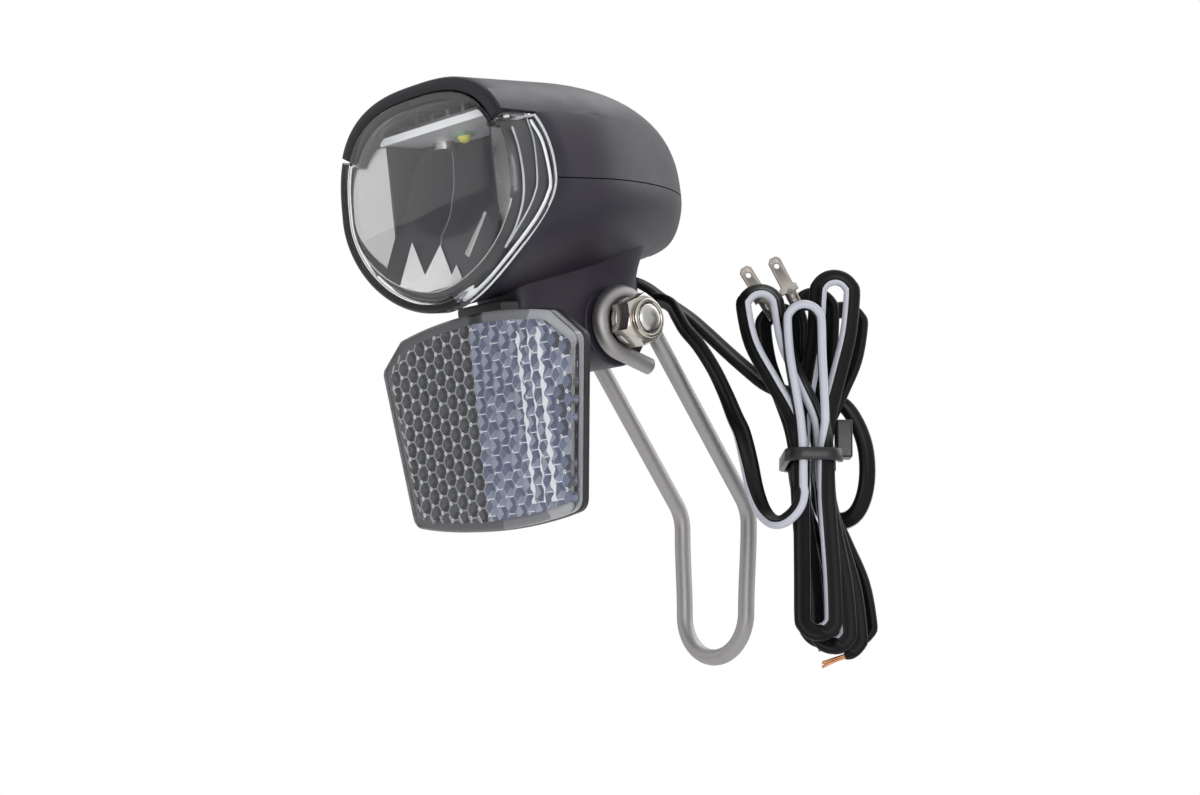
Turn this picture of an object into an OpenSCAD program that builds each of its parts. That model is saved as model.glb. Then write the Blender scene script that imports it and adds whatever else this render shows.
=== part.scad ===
// Dynamo headlight for a bicycle: a moulded lamp head with a wrap-round lens, a hanging prism
// reflector, and a bent wire bracket that hooks on the fork crown bolt.
// Millimetres. Origin: centre of the bracket's bottom loop. +Z up, the lamp shines towards -Y.
// The head is drawn in its own axes (origin on the pivot bolt) and then tilted on the bracket.

/* [Wire bracket] */
// Diameter of the bracket wire
wire_d = 3.6; // [3:0.1:4.5]
// Centre-line radius of the bottom loop
loop_r = 9.6; // [8:0.1:11]
// Height of the forward bend above the loop's centre
bend_z = 22.6; // [18:0.1:30]
// Bend radius where the legs lean forward
bend_r = 9; // [6:0.5:14]
// Distance of the pivot in front of the loop
pivot_fwd = 38.5; // [34:0.5:46]
// Height of the pivot above the loop's centre
pivot_z = 59.3; // [55:0.1:70]
// Half distance between the two legs and eyes, centre line to centre line
eye_x = 10.4; // [9.4:0.1:11]
// Centre-line radius of an eye
eye_r = 6.4; // [6:0.1:7.2]
// Where the eye's turn ends, counted from the back
eye_end = 257; // [240:1:265]
// Length of the wire tail after the eye
tail_len = 9.5; // [6:0.5:12]

/* [Pivot] */
// Forward tilt of the head as shown
head_tilt = 9; // [-5:1:30]
// Pivot bolt diameter
bolt_d = 6; // [5:0.5:6]
// Width across flats of the bolt head and the nut
hex_af = 10; // [8:0.5:10]
// Thickness of the nut
nut_h = 5; // [4:0.1:6]
// Thickness of the bolt head
bolt_head_h = 4; // [3:0.1:5]
// Bolt thread standing out of the nut
bolt_proud = 0.4; // [0.2:0.1:3]
// Washer outer diameter
washer_d = 12; // [11.4:0.1:12.6]
// Washer thickness
washer_t = 1.6; // [1:0.1:2]
// Radius of the pivot boss
boss_r = 9; // [8.6:0.1:10]

/* [Lamp head] */
// Distance of the head's own origin behind the pivot
body_back = 1.9; // [0:0.1:3]
// Width of the head
body_w = 57; // [54:0.5:64]
// Height of the parting plane above the pivot
parting_z = 27.3; // [25:0.1:30]
// Height of the roof above the parting plane
roof_h = 24; // [22:0.5:28]
// Depth of the belly below the parting plane at the front
belly_h = 23; // [21:0.5:24]
// Rise of the belly line per millimetre towards the back
belly_rise = 0.18; // [0.12:0.01:0.2]
// Distance of the hood's front edge ahead of the head's origin
hood_fwd = 44.3; // [42:0.1:48]
// Distance of the head's back end behind the head's origin
tail_back = 26.5; // [24:0.5:28]
// Wall thickness of both shells
wall = 2; // [1.6:0.1:2.4]
// Share of the outline that the hood's opening has
hood_open = 0.85; // [0.82:0.01:0.88]

/* [Lens] */
// Wall thickness of the lens
lens_wall = 2; // [1.5:0.1:2.5]
// Bulge of the lens in front of its edge
lens_dome = 1.2; // [0.5:0.1:2]
// Depth of the clear side wings behind the hood's front edge
wing_depth = 11.4; // [8:0.1:13]
// Height of the wings' top edge above the pivot
wing_top_z = 41; // [39:0.5:43]

/* [Light unit] */
// Half width of the light-emitter board
board_x = 18; // [15:0.5:18.5]
// Thickness of the circuit boards
board_t = 1.6; // [1:0.1:2]
// Height of the emitter board's underside above the pivot
board_z = 42; // [41:0.1:42.5]
// Number of cooling fins
fin_n = 6; // [4:1:8]
// Height of the heat sink with its fins
sink_h = 2.8; // [2.2:0.1:3]
// Focal length of the mirror
mirror_f = 10.5; // [9:0.1:12]
// Wall thickness of the mirror
mirror_t = 1.6; // [1.2:0.1:2]
// Half width of the driver board
driver_x = 11; // [10.5:0.1:12]
// Capacitor diameter
cap_d = 9; // [6:0.5:10]
// Capacitor length
cap_len = 14; // [10:0.5:18]

/* [Front reflector] */
// Width of the reflector at its shoulders
refl_w = 62.4; // [58:0.2:68]
// Height of the reflector
refl_h = 44.8; // [40:0.2:48]
// Width of the reflector's foot
refl_foot_w = 51.6; // [48:0.2:56]
// Thickness of the clear prism plate
prism_t = 2.6; // [2.4:0.1:3.6]
// Pitch of the prism cells
cell_pitch = 3.7; // [3.2:0.1:6]
// Wall left between two cells
cell_wall = 0.45; // [0.3:0.05:0.8]
// Depth of the prism cells
cell_depth = 1; // [0.5:0.1:1.5]
// Thickness of the black back plate
plate_t = 1.5; // [1.2:0.1:2.5]
// Rim of the back plate round the clear plate
plate_rim = 0.2; // [0:0.1:1]

/* [Leads] */
// Width of the flat twin lead
lead_w = 3.9; // [3.4:0.1:4.2]
// Thickness of the flat twin lead
lead_t = 1.95; // [1.6:0.05:2.1]
// Loops of each lead in the hank
hank_loops = 3; // [2:1:3]
// Gap between two layers of the hank
hank_gap = 0.5; // [0.45:0.05:0.8]
// Centre-line radius of the hank's upper folds
fold_r = 3.6; // [3.2:0.1:4.4]
// Centre-line radius of the hank's lower folds
foot_fold_r = 3.2; // [2.8:0.1:4]
// Half distance of the two runs at the waist
waist_x = 2.5; // [2.4:0.1:3]
// Width of the cable tie's band
tie_w = 2.6; // [2:0.1:3.6]
// Thickness of the cable tie's band
tie_t = 1.1; // [0.8:0.1:1.4]
// Width of the spade blades
blade_w = 2.8; // [2.4:0.1:4.8]
// Length of the spade blades
blade_len = 7; // [6:0.5:9]

/* [Fits] */
// Radial clearance of the pivot bolt in the boss
pivot_clear = 0.08; // [0.04:0.01:0.1]
// Side clearance between the boss and the wire eyes
eye_clear = 0.3; // [0.2:0.05:0.5]
// Clearance between pieces that sit in each other
seat = 0.2; // [0.1:0.05:0.3]
// Clearance of screws in their holes
screw_clear = 0.1; // [0.05:0.05:0.2]

/* [Hidden] */
$fn = 48;

// Vector helpers
function unit(v) = v / norm(v);
function mix(a, b, t) = a + (b - a) * t;
function ease(t) = (1 - cos(180 * t)) / 2;
function tangents(p) = [for (i = [0:len(p) - 1])
    unit(p[min(i + 1, len(p) - 1)] - p[max(i - 1, 0)])];

// Side vectors that turn as little as possible along a path
function carried_sides(t, first) = [for (
    i = 0, s = unit(first - (first * t[0]) * t[0]);
    i < len(t);
    i = i + 1, s = i < len(t) ? unit(s - (s * t[i]) * t[i]) : s) s];

// Tube of half width a and half thickness b along a path, one side vector per point
module tube(path, sides, a, b, n) {
    t = tangents(path);
    grow = 1 / cos(180 / n);
    m = len(path);
    points = [for (i = [0:m - 1], k = [0:n - 1])
        let (u = 360 * (k + 0.5) / n)
        path[i] + sides[i] * a * grow * cos(u) + cross(t[i], sides[i]) * b * grow * sin(u)];
    skin = [for (i = [0:m - 2], k = [0:n - 1])
        let (q = i * n + k, r = i * n + (k + 1) % n)
        each [[q, q + n, r + n], [q, r + n, r]]];
    caps = [for (k = [1:n - 2]) each [[0, k, k + 1], [(m - 1) * n, (m - 1) * n + k + 1, (m - 1) * n + k]]];
    polyhedron(points, concat(skin, caps), convexity = 10);
}

// Wire bracket: tail, eye, leaning leg, bend, leg and half the bottom loop, then the mirror image
wire_r = wire_d / 2;
lean = atan2(pivot_z - bend_z, pivot_fwd);
wire_sides = 12;

// The leg's line runs from the bend to a tangent of the eye, in side view
eye_c = [-pivot_fwd, pivot_z];
reach = norm([pivot_fwd, pivot_z - bend_z]);
leg_angle = lean + asin(eye_r / reach);
tangent_angle = 90 - leg_angle;
leg_top = eye_c + eye_r * [cos(tangent_angle), sin(tangent_angle)];
bend_angle = 90 - leg_angle;
bend_cut = bend_r * tan(bend_angle / 2);
tail_from = eye_c + eye_r * [cos(eye_end), sin(eye_end)];

function in_side(p) = [eye_x, p[0], p[1]];

eye_turn = [for (a = [tangent_angle:(eye_end - tangent_angle) / 14:eye_end + 0.01])
    in_side(eye_c + eye_r * [cos(a), sin(a)])];
tail = [for (d = [tail_len, tail_len / 2])
    in_side(tail_from + d * [-sin(eye_end), cos(eye_end)])];
bend_turn = [for (i = [0:4])
    let (a = bend_angle * (1 - i / 4))
    in_side([-bend_r * (1 - cos(a)), bend_z - bend_cut + bend_r * sin(a)])];
leg_mid = [for (t = [1 / 3, 2 / 3]) let (b = bend_turn[0]) in_side(mix(leg_top, [b[1], b[2]], t))];
low_leg = [for (t = [0.8, 0.6, 0.4, 0.2]) [mix(loop_r, eye_x, ease(t)), 0, (bend_z - bend_cut) * t]];
half_loop = [for (a = [0:-15:-90]) [loop_r * cos(a), 0, loop_r * sin(a)]];
near_half = concat(tail, [for (i = [len(eye_turn) - 1:-1:0]) eye_turn[i]], leg_mid, bend_turn,
    low_leg, half_loop);
wire_path = concat(near_half, [for (i = [len(near_half) - 2:-1:0])
    let (p = near_half[i]) [-p[0], p[1], p[2]]]);

module wire_bracket() {
    color("silver")
        tube(wire_path, carried_sides(tangents(wire_path), [1, 0, 0]), wire_r, wire_r, wire_sides);
}

// Pivot stack along X: eye, washer, nut on one side and eye, washer, bolt head on the other
washer_seat = eye_x + wire_r + 0.02;
nut_seat = washer_seat + washer_t;
bolt_end = nut_seat + nut_h + bolt_proud;
hex_r = hex_af / 2 / cos(30);
boss_x = eye_x - wire_r - eye_clear;
bolt_chamfer = 0.7;

module at_pivot() {
    translate([0, -pivot_fwd, pivot_z]) children();
}

module along_x(from, to, r) {
    translate([from, 0, 0]) rotate([0, 90, 0]) cylinder(h = to - from, r = r);
}

// Hexagon with turned corners, from x = 0 outwards
module hex_block(h) {
    corner = hex_r - hex_af / 2;
    intersection() {
        rotate([0, 90, 0]) cylinder(h = h, r = hex_r, $fn = 6);
        rotate([0, 90, 0]) cylinder(h = h - corner / 2, r = hex_r + 0.1);
    }
    intersection() {
        translate([h - corner / 2, 0, 0]) rotate([0, 90, 0]) cylinder(h = corner / 2, r = hex_r, $fn = 6);
        translate([h - corner / 2, 0, 0]) rotate([0, 90, 0])
            cylinder(h = corner / 2, r1 = hex_r, r2 = hex_af / 2 - 0.1);
    }
}

module pivot_bolt() {
    color("lightgray") at_pivot() {
        along_x(-nut_seat, bolt_end - bolt_chamfer, bolt_d / 2);
        translate([bolt_end - bolt_chamfer, 0, 0]) rotate([0, 90, 0])
            cylinder(h = bolt_chamfer, r1 = bolt_d / 2, r2 = bolt_d / 2 - bolt_chamfer);
        translate([-nut_seat, 0, 0]) rotate([0, 0, 180]) hex_block(bolt_head_h);
    }
}

module pivot_nut() {
    color("tan") at_pivot() difference() {
        translate([nut_seat, 0, 0]) hex_block(nut_h);
        along_x(nut_seat - 1, nut_seat + nut_h + 1, bolt_d / 2 + 0.02);
    }
}

module pivot_washers() {
    color("gray") at_pivot() for (side = [0, 180]) rotate([0, 0, side]) difference() {
        along_x(washer_seat, nut_seat, washer_d / 2);
        along_x(washer_seat - 1, nut_seat + 1, bolt_d / 2 + 0.2);
    }
}

// Head axes: origin just behind the pivot, +Y to the back, +Z up, tilted on the bracket
module on_head() {
    at_pivot() rotate([head_tilt, 0, 0]) translate([0, body_back, 0]) children();
}

// Form of the head. Sections across Y are superellipses that close towards the back.
hood_y = -hood_fwd;
roof_power = 2.8;
belly_power = 1.8;
// Where width, roof and belly start to close, and how full they stay
plan_y = -20;
plan_close = 1.55;
roof_y = -22;
roof_close = 2.15;
belly_y = 4;
belly_close = 4.6;

function closing(y, from, to, p) = y <= from ? 1 : pow(max(0, 1 - pow((y - from) / (to - from), p)), 1 / p);
function half_w(y, in) = (body_w / 2 - in) * closing(y, plan_y, tail_back - in, plan_close);
function roof(y, in) = (roof_h - in) * closing(y, roof_y, tail_back - in, roof_close);
function belly(y, in) = (belly_h - belly_rise * max(0, y - hood_y) - in)
    * closing(y, belly_y, tail_back - in, belly_close);
function power_of(x, p) = sign(x) * pow(abs(x), p);

// Point of the head's surface at angle t round the section at y, drawn in by a wall
function form(t, y, in) = let (p = t <= 180 ? 2 / roof_power : 2 / belly_power)
    [half_w(y, in) * power_of(cos(t), p), y,
    parting_z + (t <= 180 ? roof(y, in) : belly(y, in)) * power_of(sin(t), p)];

// Rear edge of the lens, and so the front edge of the shells, against height
wing_foot_z = 7;
wing_mid_z = 28.5;
wing_foot_y = hood_y + 4;
function wing_y(z) = z < wing_mid_z
    ? mix(wing_foot_y, hood_y + wing_depth, ease(min(1, max(0, (z - wing_foot_z) / (wing_mid_z - wing_foot_z)))))
    : hood_y + wing_depth - 2.6 * pow((z - wing_mid_z) / (wing_top_z - wing_mid_z), 2);

// Angle of the section at which the wings end and the hood starts
step_t = asin(pow((wing_top_z - parting_z) / roof_h, roof_power / 2));
step_gap = 0.7;
lens_step_t = step_t - 2 * step_gap;
function above(t, edge) = t > edge && t < 180 - edge;
function hooded(t) = above(t, step_t);

side_n = 5;
top_n = 18;
low_n = 28;
function upper_angles(edge) = concat(
    [for (i = [0:side_n]) (edge - step_gap) * i / side_n],
    [for (i = [0:top_n]) mix(edge + step_gap, 180 - edge - step_gap, i / top_n)],
    [for (i = [side_n:-1:0]) 180 - (edge - step_gap) * i / side_n]);
upper_t = upper_angles(step_t);
lower_t = [for (i = [0:low_n]) 180 + 180 * i / low_n];
lens_t = concat(upper_angles(lens_step_t), [for (i = [1:low_n - 1]) lower_t[i]]);

// Shell between two angles, from its front edge to the closed back end
ring_n = 15;
seam_gap = 0.12;
hood_rings = 2;

function front_y(t) = hooded(t) ? hood_y : wing_y(form(t, hood_y, 0)[2]) + seat;
function ring_y(t, j, in) = mix(front_y(t), tail_back - in, j == 1 ? 0.06 : sin(90 * j / ring_n));
function off_seam(p, up) = [p[0], p[1], up ? max(p[2], parting_z + seam_gap) : min(p[2], parting_z - seam_gap)];
function hood_in(t, j) = hooded(t) && j < hood_rings;
function shrunk(p, k) = [p[0] * k, p[1], parting_z + (p[2] - parting_z) * k];
function shell_point(t, j, in, up) = off_seam(
    hood_in(t, j) && in > 0 ? shrunk(form(t, ring_y(t, j, 0), 0), hood_open) : form(t, ring_y(t, j, in), in), up);

module half_shell(angles, up) {
    n = len(angles);
    m = ring_n;
    skins = [for (in = [0, wall]) each concat(
        [for (j = [0:m - 1], i = [0:n - 1]) shell_point(angles[i], j, in, up)],
        [off_seam([0, tail_back - in, parting_z], up)])];
    size = n * m + 1;
    // One skin's faces, offset in the point list
    function skin(o) = [for (j = [0:m - 2], i = [0:n - 2])
        let (q = o + j * n + i)
        each [[q, q + 1, q + n + 1], [q, q + n + 1, q + n]]];
    function back(o) = [for (i = [0:n - 2]) [o + (m - 1) * n + i, o + (m - 1) * n + i + 1, o + n * m]];
    function flipped(f) = [for (x = f) [x[2], x[1], x[0]]];
    front = [for (i = [0:n - 2]) each [[i, size + i, size + i + 1], [i, size + i + 1, i + 1]]];
    function edge(i) = [for (j = [0:m - 2])
        let (a = j * n + i, b = a + n)
        each [[a, b, size + b], [a, size + b, size + a]]];
    function edge_back(i) = let (a = (m - 1) * n + i)
        [[a, n * m, size + n * m], [a, size + n * m, size + a]];
    faces = concat(skin(0), back(0), flipped(concat(skin(size), back(size))), front,
        edge(0), edge_back(0), flipped(concat(edge(n - 1), edge_back(n - 1))));
    polyhedron(skins, faces, convexity = 10);
}

// Screws and the posts that take them
screw_r = 1.2;
screw_head_r = 2.3;
screw_head_h = 1.6;
post_r = 3;
shell_screw_at = [[0, -15.3], [0, 16]];
shell_screw_head_z = 18.5;
shell_screw_len = 16;
sink_y = hood_y + 7.3;
sink_d = 15;
board_screw_at = [[-10.4, hood_y + 16.3], [10.4, hood_y + 16.3]];
board_screw_len = 6;
driver_screw_at = [[-8, -9], [8, -9]];
driver_screw_len = 6;
driver_y = -12;
driver_d = 20;
driver_z = 19.5;

module screw(len) {
    cylinder(h = len, r = screw_r);
    translate([0, 0, -screw_head_h]) cylinder(h = screw_head_h, r = screw_head_r);
}

module post_hole(z0, z1) {
    translate([0, 0, z0]) cylinder(h = z1 - z0, r = screw_r + screw_clear / 2);
}

sink_top = board_z + board_t + sink_h;

// Solid of one half of the head, drawn in from the outside
module core(from_t, in) {
    core_y = [hood_y + 6, -34, -26, -18, -10, -2, 5, 10, 14, 17.5, 20];
    core_n = 16;
    points = [for (y = core_y, i = [0:core_n]) form(from_t + 180 * i / core_n, y, in)];
    m = len(core_y);
    n = core_n + 1;
    skin = [for (j = [0:m - 2], i = [0:n - 2])
        let (q = j * n + i)
        each [[q, q + n + 1, q + n], [q, q + 1, q + n + 1]]];
    lid = [for (j = [0:m - 2])
        let (q = j * n, r = q + n - 1)
        each [[q, r + n, r], [q, q + n, r + n]]];
    ends = [for (i = [1:n - 2]) each [[0, i + 1, i], [(m - 1) * n, (m - 1) * n + i, (m - 1) * n + i + 1]]];
    polyhedron(points, concat(skin, lid, ends), convexity = 4);
}

module upper_shell() {
    color("#2b2a2e") on_head() difference() {
        union() {
            half_shell(upper_t, true);
            intersection() {
                core(0, wall / 2);
                union() {
                    for (p = shell_screw_at) translate([p[0], p[1], parting_z + seam_gap])
                        cylinder(h = roof_h, r = post_r);
                    for (p = board_screw_at) translate([p[0], p[1], sink_top])
                        cylinder(h = roof_h, r = post_r);
                }
            }
        }
        for (p = shell_screw_at) translate(p) post_hole(parting_z - 1, shell_screw_head_z + shell_screw_len + 1);
        for (p = board_screw_at) translate(p) post_hole(sink_top - 1, board_z + board_screw_len + 0.3);
    }
}

// Neck, boss and reflector arm in side view
neck_back = 6.9;
neck_top = 15;
arm_y = -27.5;
arm_low_z = -1;
arm_top_z = 9;

module neck_side() {
    translate([-body_back, 0]) circle(r = boss_r);
    polygon([[neck_back, neck_top], [neck_back, 1], [-body_back, -2], [-body_back - boss_r + 1, 0],
        [-16, arm_low_z], [arm_y, arm_low_z], [arm_y, arm_top_z], [-15, neck_top]]);
}

// The neck widens towards the belly, above the wire eyes
flare_r = 13;
flare_foot_z = eye_r + wire_r + eye_clear;
flare_t = 0.5;

module neck_flare() {
    front = -body_back - boss_r - 2;
    hull() {
        translate([0, neck_back - flare_r, neck_top]) cylinder(h = flare_t, r = flare_r);
        translate([-boss_x, front, flare_foot_z]) cube([2 * boss_x, neck_back - front, flare_t]);
    }
}

// Extrudes a side view (y, z) along X, centred
module across(w) {
    rotate([90, 0, 90]) translate([0, 0, -w / 2]) linear_extrude(w) children();
}

grommet_out = 2.5;
grommet_in = 1;
grommet_w = 4.4;
lead_exit_x = 2.2;
upper_exit_z = 10;
lower_exit_z = 5.6;
peg_r = 2;
peg_len = 4;
peg_z = 3.5;

module grommet_plug(grow) {
    mid = (upper_exit_z + lower_exit_z) / 2;
    h = upper_exit_z - lower_exit_z + lead_w + 1.2;
    translate([lead_exit_x - grommet_w / 2 - grow, 0, mid - h / 2 - grow])
        cube([grommet_w + 2 * grow, grommet_in + grommet_out + grow, h + 2 * grow]);
}

module lower_shell() {
    color("#232226") on_head() difference() {
        union() {
            half_shell(lower_t, false);
            difference() {
                union() {
                    across(2 * boss_x) neck_side();
                    neck_flare();
                }
                core(180, wall * 0.9);
            }
            intersection() {
                core(180, wall / 2);
                union() {
                    for (p = shell_screw_at) translate(p) cylinder(h = parting_z - seam_gap, r = post_r);
                    for (p = driver_screw_at) translate(p) cylinder(h = driver_z, r = post_r);
                }
            }
        }
        translate([0, -body_back, 0]) along_x(-boss_x - 1, boss_x + 1, bolt_d / 2 + pivot_clear);
        for (p = shell_screw_at) translate(p) {
            post_hole(shell_screw_head_z - 1, parting_z + 1);
            translate([0, 0, -boss_r]) cylinder(h = shell_screw_head_z + boss_r, r = screw_head_r + screw_clear);
        }
        for (p = driver_screw_at) translate(p) post_hole(driver_z - 5.5, driver_z + 1);
        translate([0, neck_back - grommet_in, 0]) grommet_plug(0);
        translate([0, arm_y - 1, peg_z]) rotate([-90, 0, 0]) cylinder(h = peg_len + 2, r = peg_r + screw_clear);
    }
}

// Lens: rings from its rear edge over the rounded rim to the domed front, then back along the inside
lens_scale = hood_open - seat / (body_w / 2);
rim_k = [1, 1, 0.972, 0.925, 0.85];
rim_y = [0, -hood_fwd + 2.4, -hood_fwd + 1.2, -hood_fwd + 0.1, -hood_fwd - 0.5];
face_k = 0.45;

function lens_k(t, k) = above(t, lens_step_t) ? min(k, lens_scale) : k;
function lens_rear(t) = above(t, lens_step_t) ? hood_y + lens_wall + 1 : wing_y(form(t, hood_y, 0)[2]);
function lens_out(t, r) = let (p = form(t, hood_y, 0), q = shrunk(p, lens_k(t, rim_k[r])))
    [q[0], r == 0 ? lens_rear(t) : rim_y[r], q[2]];
function lens_in(t, r) = let (p = form(t, hood_y, lens_wall), q = shrunk(p, lens_k(t, rim_k[r] * 0.99)))
    [q[0], r == 0 ? lens_rear(t) : min(rim_y[r] + lens_wall, lens_rear(t) - 0.15 * r), q[2]];
function lens_face(t, in) = let (q = shrunk(form(t, hood_y, in), lens_k(t, face_k)))
    [q[0], hood_y - 0.5 - lens_dome * 0.8 + in, q[2]];

module front_lens() {
    n = len(lens_t);
    m = len(rim_k);
    ring = m + 1;
    outer = concat(
        [for (r = [0:m - 1], t = lens_t) lens_out(t, r)],
        [for (t = lens_t) lens_face(t, 0)],
        [[0, hood_y - 0.5 - lens_dome, parting_z]]);
    inner = concat(
        [for (r = [0:m - 1], t = lens_t) lens_in(t, r)],
        [for (t = lens_t) lens_face(t, lens_wall)],
        [[0, hood_y - 0.5 - lens_dome + lens_wall, parting_z]]);
    size = ring * n + 1;
    function skin(o) = concat(
        [for (j = [0:ring - 2], i = [0:n - 1])
            let (q = o + j * n + i, r = o + j * n + (i + 1) % n)
            each [[q, q + n, r + n], [q, r + n, r]]],
        [for (i = [0:n - 1]) [o + (ring - 1) * n + i, o + ring * n, o + (ring - 1) * n + (i + 1) % n]]);
    function flipped(f) = [for (x = f) [x[2], x[1], x[0]]];
    rear = [for (i = [0:n - 1])
        let (r = (i + 1) % n)
        each [[i, r, size + r], [i, size + r, size + i]]];
    color("aliceblue", 0.4) on_head()
        polyhedron(concat(outer, inner), concat(skin(0), flipped(skin(size)), rear), convexity = 10);
}

// Light unit behind the lens
function mirror_y(r) = board_y + mirror_f - r * r / (4 * mirror_f);
board_y = hood_y + 13.3;
board_front = hood_y + 5.3;
board_d = 16;
mirror_front = hood_y + 4;
mirror_back = hood_y + 26.3;
mirror_k = 0.8;
cheek_x = 11;
tooth_n = 4;
tooth_w = 5.2;
tooth_rise = 56;

// Front outline of the mirror, a smaller form cut off under the board
module mirror_outline(k) {
    intersection() {
        polygon([for (t = [0:7.5:359]) let (p = shrunk(form(t, hood_y, 0), k)) [p[0], p[2]]]);
        translate([-body_w, 0]) square([2 * body_w, board_z - 0.1]);
    }
}

// Solid in front of the paraboloid whose focus is the emitter
module beam_room(back) {
    steps = 14;
    far_r = 34;
    translate([0, 0, board_z]) rotate([90, 0, 0]) rotate_extrude($fn = 96)
        polygon(concat([for (i = [0:steps]) let (r = far_r * i / steps) [r, -mirror_y(r) - back]],
            [[far_r, -mirror_y(far_r) + 40], [0, -mirror_y(far_r) + 40]]));
}

module beam_mirror() {
    color("gainsboro") on_head() {
        intersection() {
            translate([0, mirror_back, 0]) rotate([90, 0, 0])
                linear_extrude(mirror_back - mirror_front) mirror_outline(mirror_k);
            union() {
                difference() {
                    beam_room(mirror_t);
                    beam_room(0);
                }
                for (side = [1, -1]) mirror_cheek(side);
                mirror_teeth();
            }
        }
    }
}

// Flat side facet that flares to the rim
module mirror_cheek(side) {
    front = [side * body_w / 2 * mirror_k, mirror_front];
    rear = [side * cheek_x, mirror_y(cheek_x + 14)];
    linear_extrude(board_z - 0.1)
        polygon([front, rear, rear + [side * mirror_t, mirror_t], front + [side * mirror_t, mirror_t]]);
}

// Zig-zag facets that rise from the mirror's foot to the paraboloid
module mirror_teeth() {
    low = parting_z - belly_h * mirror_k + 0.3;
    for (i = [0:tooth_n - 1]) translate([(i - (tooth_n - 1) / 2) * tooth_w, mirror_front + 0.2, low])
        rotate([tooth_rise, 0, 0]) linear_extrude(mirror_t)
        polygon([[-tooth_w / 2, -2], [tooth_w / 2, -2], [tooth_w / 2, 5], [0, 11], [-tooth_w / 2, 5]]);
}

module emitter_board() {
    color("lightsteelblue") on_head() difference() {
        translate([-board_x, board_front, board_z]) cube([2 * board_x, board_d, board_t]);
        for (p = board_screw_at) translate(p) post_hole(board_z - 1, board_z + board_t + 1);
    }
}

emitter_w = 3.5;
emitter_h = 0.8;

module light_emitter() {
    color("khaki") on_head() translate([0, board_y, board_z]) {
        translate([-emitter_w / 2, -emitter_w / 2, -emitter_h]) cube([emitter_w, emitter_w, emitter_h]);
        translate([0, 0, -emitter_h]) intersection() {
            sphere(r = emitter_w * 0.42);
            translate([-emitter_w, -emitter_w, -emitter_w]) cube([2 * emitter_w, 2 * emitter_w, emitter_w + 0.1]);
        }
    }
}

sink_x = 13;
sink_base = 1.2;
fin_t = 1;

module heat_sink() {
    base_z = board_z + board_t;
    color("darkgray") on_head() difference() {
        union() {
            translate([-sink_x, sink_y, base_z]) cube([2 * sink_x, sink_d, sink_base]);
            for (i = [0:fin_n - 1]) translate([mix(-sink_x, sink_x - fin_t, i / (fin_n - 1)), sink_y, base_z])
                cube([fin_t, sink_d, sink_h]);
            for (p = board_screw_at) translate([p[0], p[1], base_z]) cylinder(h = sink_h, r = post_r);
        }
        for (p = board_screw_at) translate(p) post_hole(base_z - 1, base_z + sink_h + 1);
    }
}

module board_screws() {
    color("silver") on_head() for (p = board_screw_at) translate([p[0], p[1], board_z]) screw(board_screw_len);
}

module driver_board() {
    color("darkgreen") on_head() difference() {
        translate([-driver_x, driver_y, driver_z]) cube([2 * driver_x, driver_d, board_t]);
        for (p = driver_screw_at) translate(p) post_hole(driver_z - 1, driver_z + board_t + 1);
    }
}

driver_top = driver_z + board_t;

module capacitor() {
    color("midnightblue") on_head() translate([-cap_len / 2, 1.8, driver_top + cap_d / 2 + 0.05]) {
        rotate([0, 90, 0]) cylinder(h = cap_len - 1, r = cap_d / 2);
        translate([cap_len - 1, 0, 0]) rotate([0, 90, 0]) cylinder(h = 1, r = cap_d / 2 - 0.5);
    }
}

diode = [3.6, 2.4, 2];
diode_gap = 1.2;

module rectifier_diodes() {
    color("black") on_head() for (i = [0:3])
        translate([(i - 1.5) * (diode[0] + diode_gap) - diode[0] / 2, -6.5, driver_top]) cube(diode);
}

module driver_screws() {
    color("silver") on_head() for (p = driver_screw_at)
        translate([p[0], p[1], driver_top]) rotate([180, 0, 0]) screw(driver_screw_len);
}

module shell_screws() {
    color("dimgray") on_head() for (p = shell_screw_at)
        translate([p[0], p[1], shell_screw_head_z]) screw(shell_screw_len);
}

module cable_grommet() {
    color("#1b1b1d") on_head() translate([0, neck_back - grommet_in, 0]) grommet_plug(-0.02);
}

// Hanging reflector. Its outline is straight-sided between a convex top and a convex foot.
refl_top_z = 3.8;
refl_shoulder_drop = 8.3;
refl_chamfer_w = 6.8;
refl_chamfer_h = 5.5;
top_arc_r = 119;
foot_arc_r = 138;
foot_corner_r = 3;
refl_face_y = -35.2;

module reflector_outline(grow) {
    half = refl_w / 2;
    foot = refl_foot_w / 2;
    low = refl_top_z - refl_h;
    shoulder = refl_top_z - refl_shoulder_drop;
    k = (half + grow) / half;
    mid = refl_top_z - refl_h / 2;
    corner_at = [foot - 1.05 * foot_corner_r, low + 1.72 * foot_corner_r];
    corner = [for (a = [-10:-17.5:-80]) corner_at + foot_corner_r * [cos(a), sin(a)]];
    intersection() {
        translate([0, mid]) scale(k) translate([0, -mid]) polygon([
            [half - 2 * refl_chamfer_w, shoulder + 2 * refl_chamfer_h], [half, shoulder],
            each corner, [foot - 8, low - 2],
            [8 - foot, low - 2], for (i = [len(corner) - 1:-1:0]) [-corner[i][0], corner[i][1]],
            [-half, shoulder], [2 * refl_chamfer_w - half, shoulder + 2 * refl_chamfer_h]]);
        translate([0, refl_top_z - top_arc_r]) circle(r = top_arc_r + grow, $fn = 180);
        translate([0, low + foot_arc_r]) circle(r = foot_arc_r + grow, $fn = 180);
    }
}

// Extrudes a front view (x, z) forwards from y
module forwards(y, t) {
    translate([0, y, 0]) rotate([90, 0, 0]) linear_extrude(t) children();
}

cell_margin = 3;
cell_r = (cell_pitch - cell_wall) / 2 / cos(30);
cell_cols = ceil(refl_w / 2 / (cell_pitch * cos(30)));
cell_rows = ceil(refl_h / 2 / cell_pitch) + 1;

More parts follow.
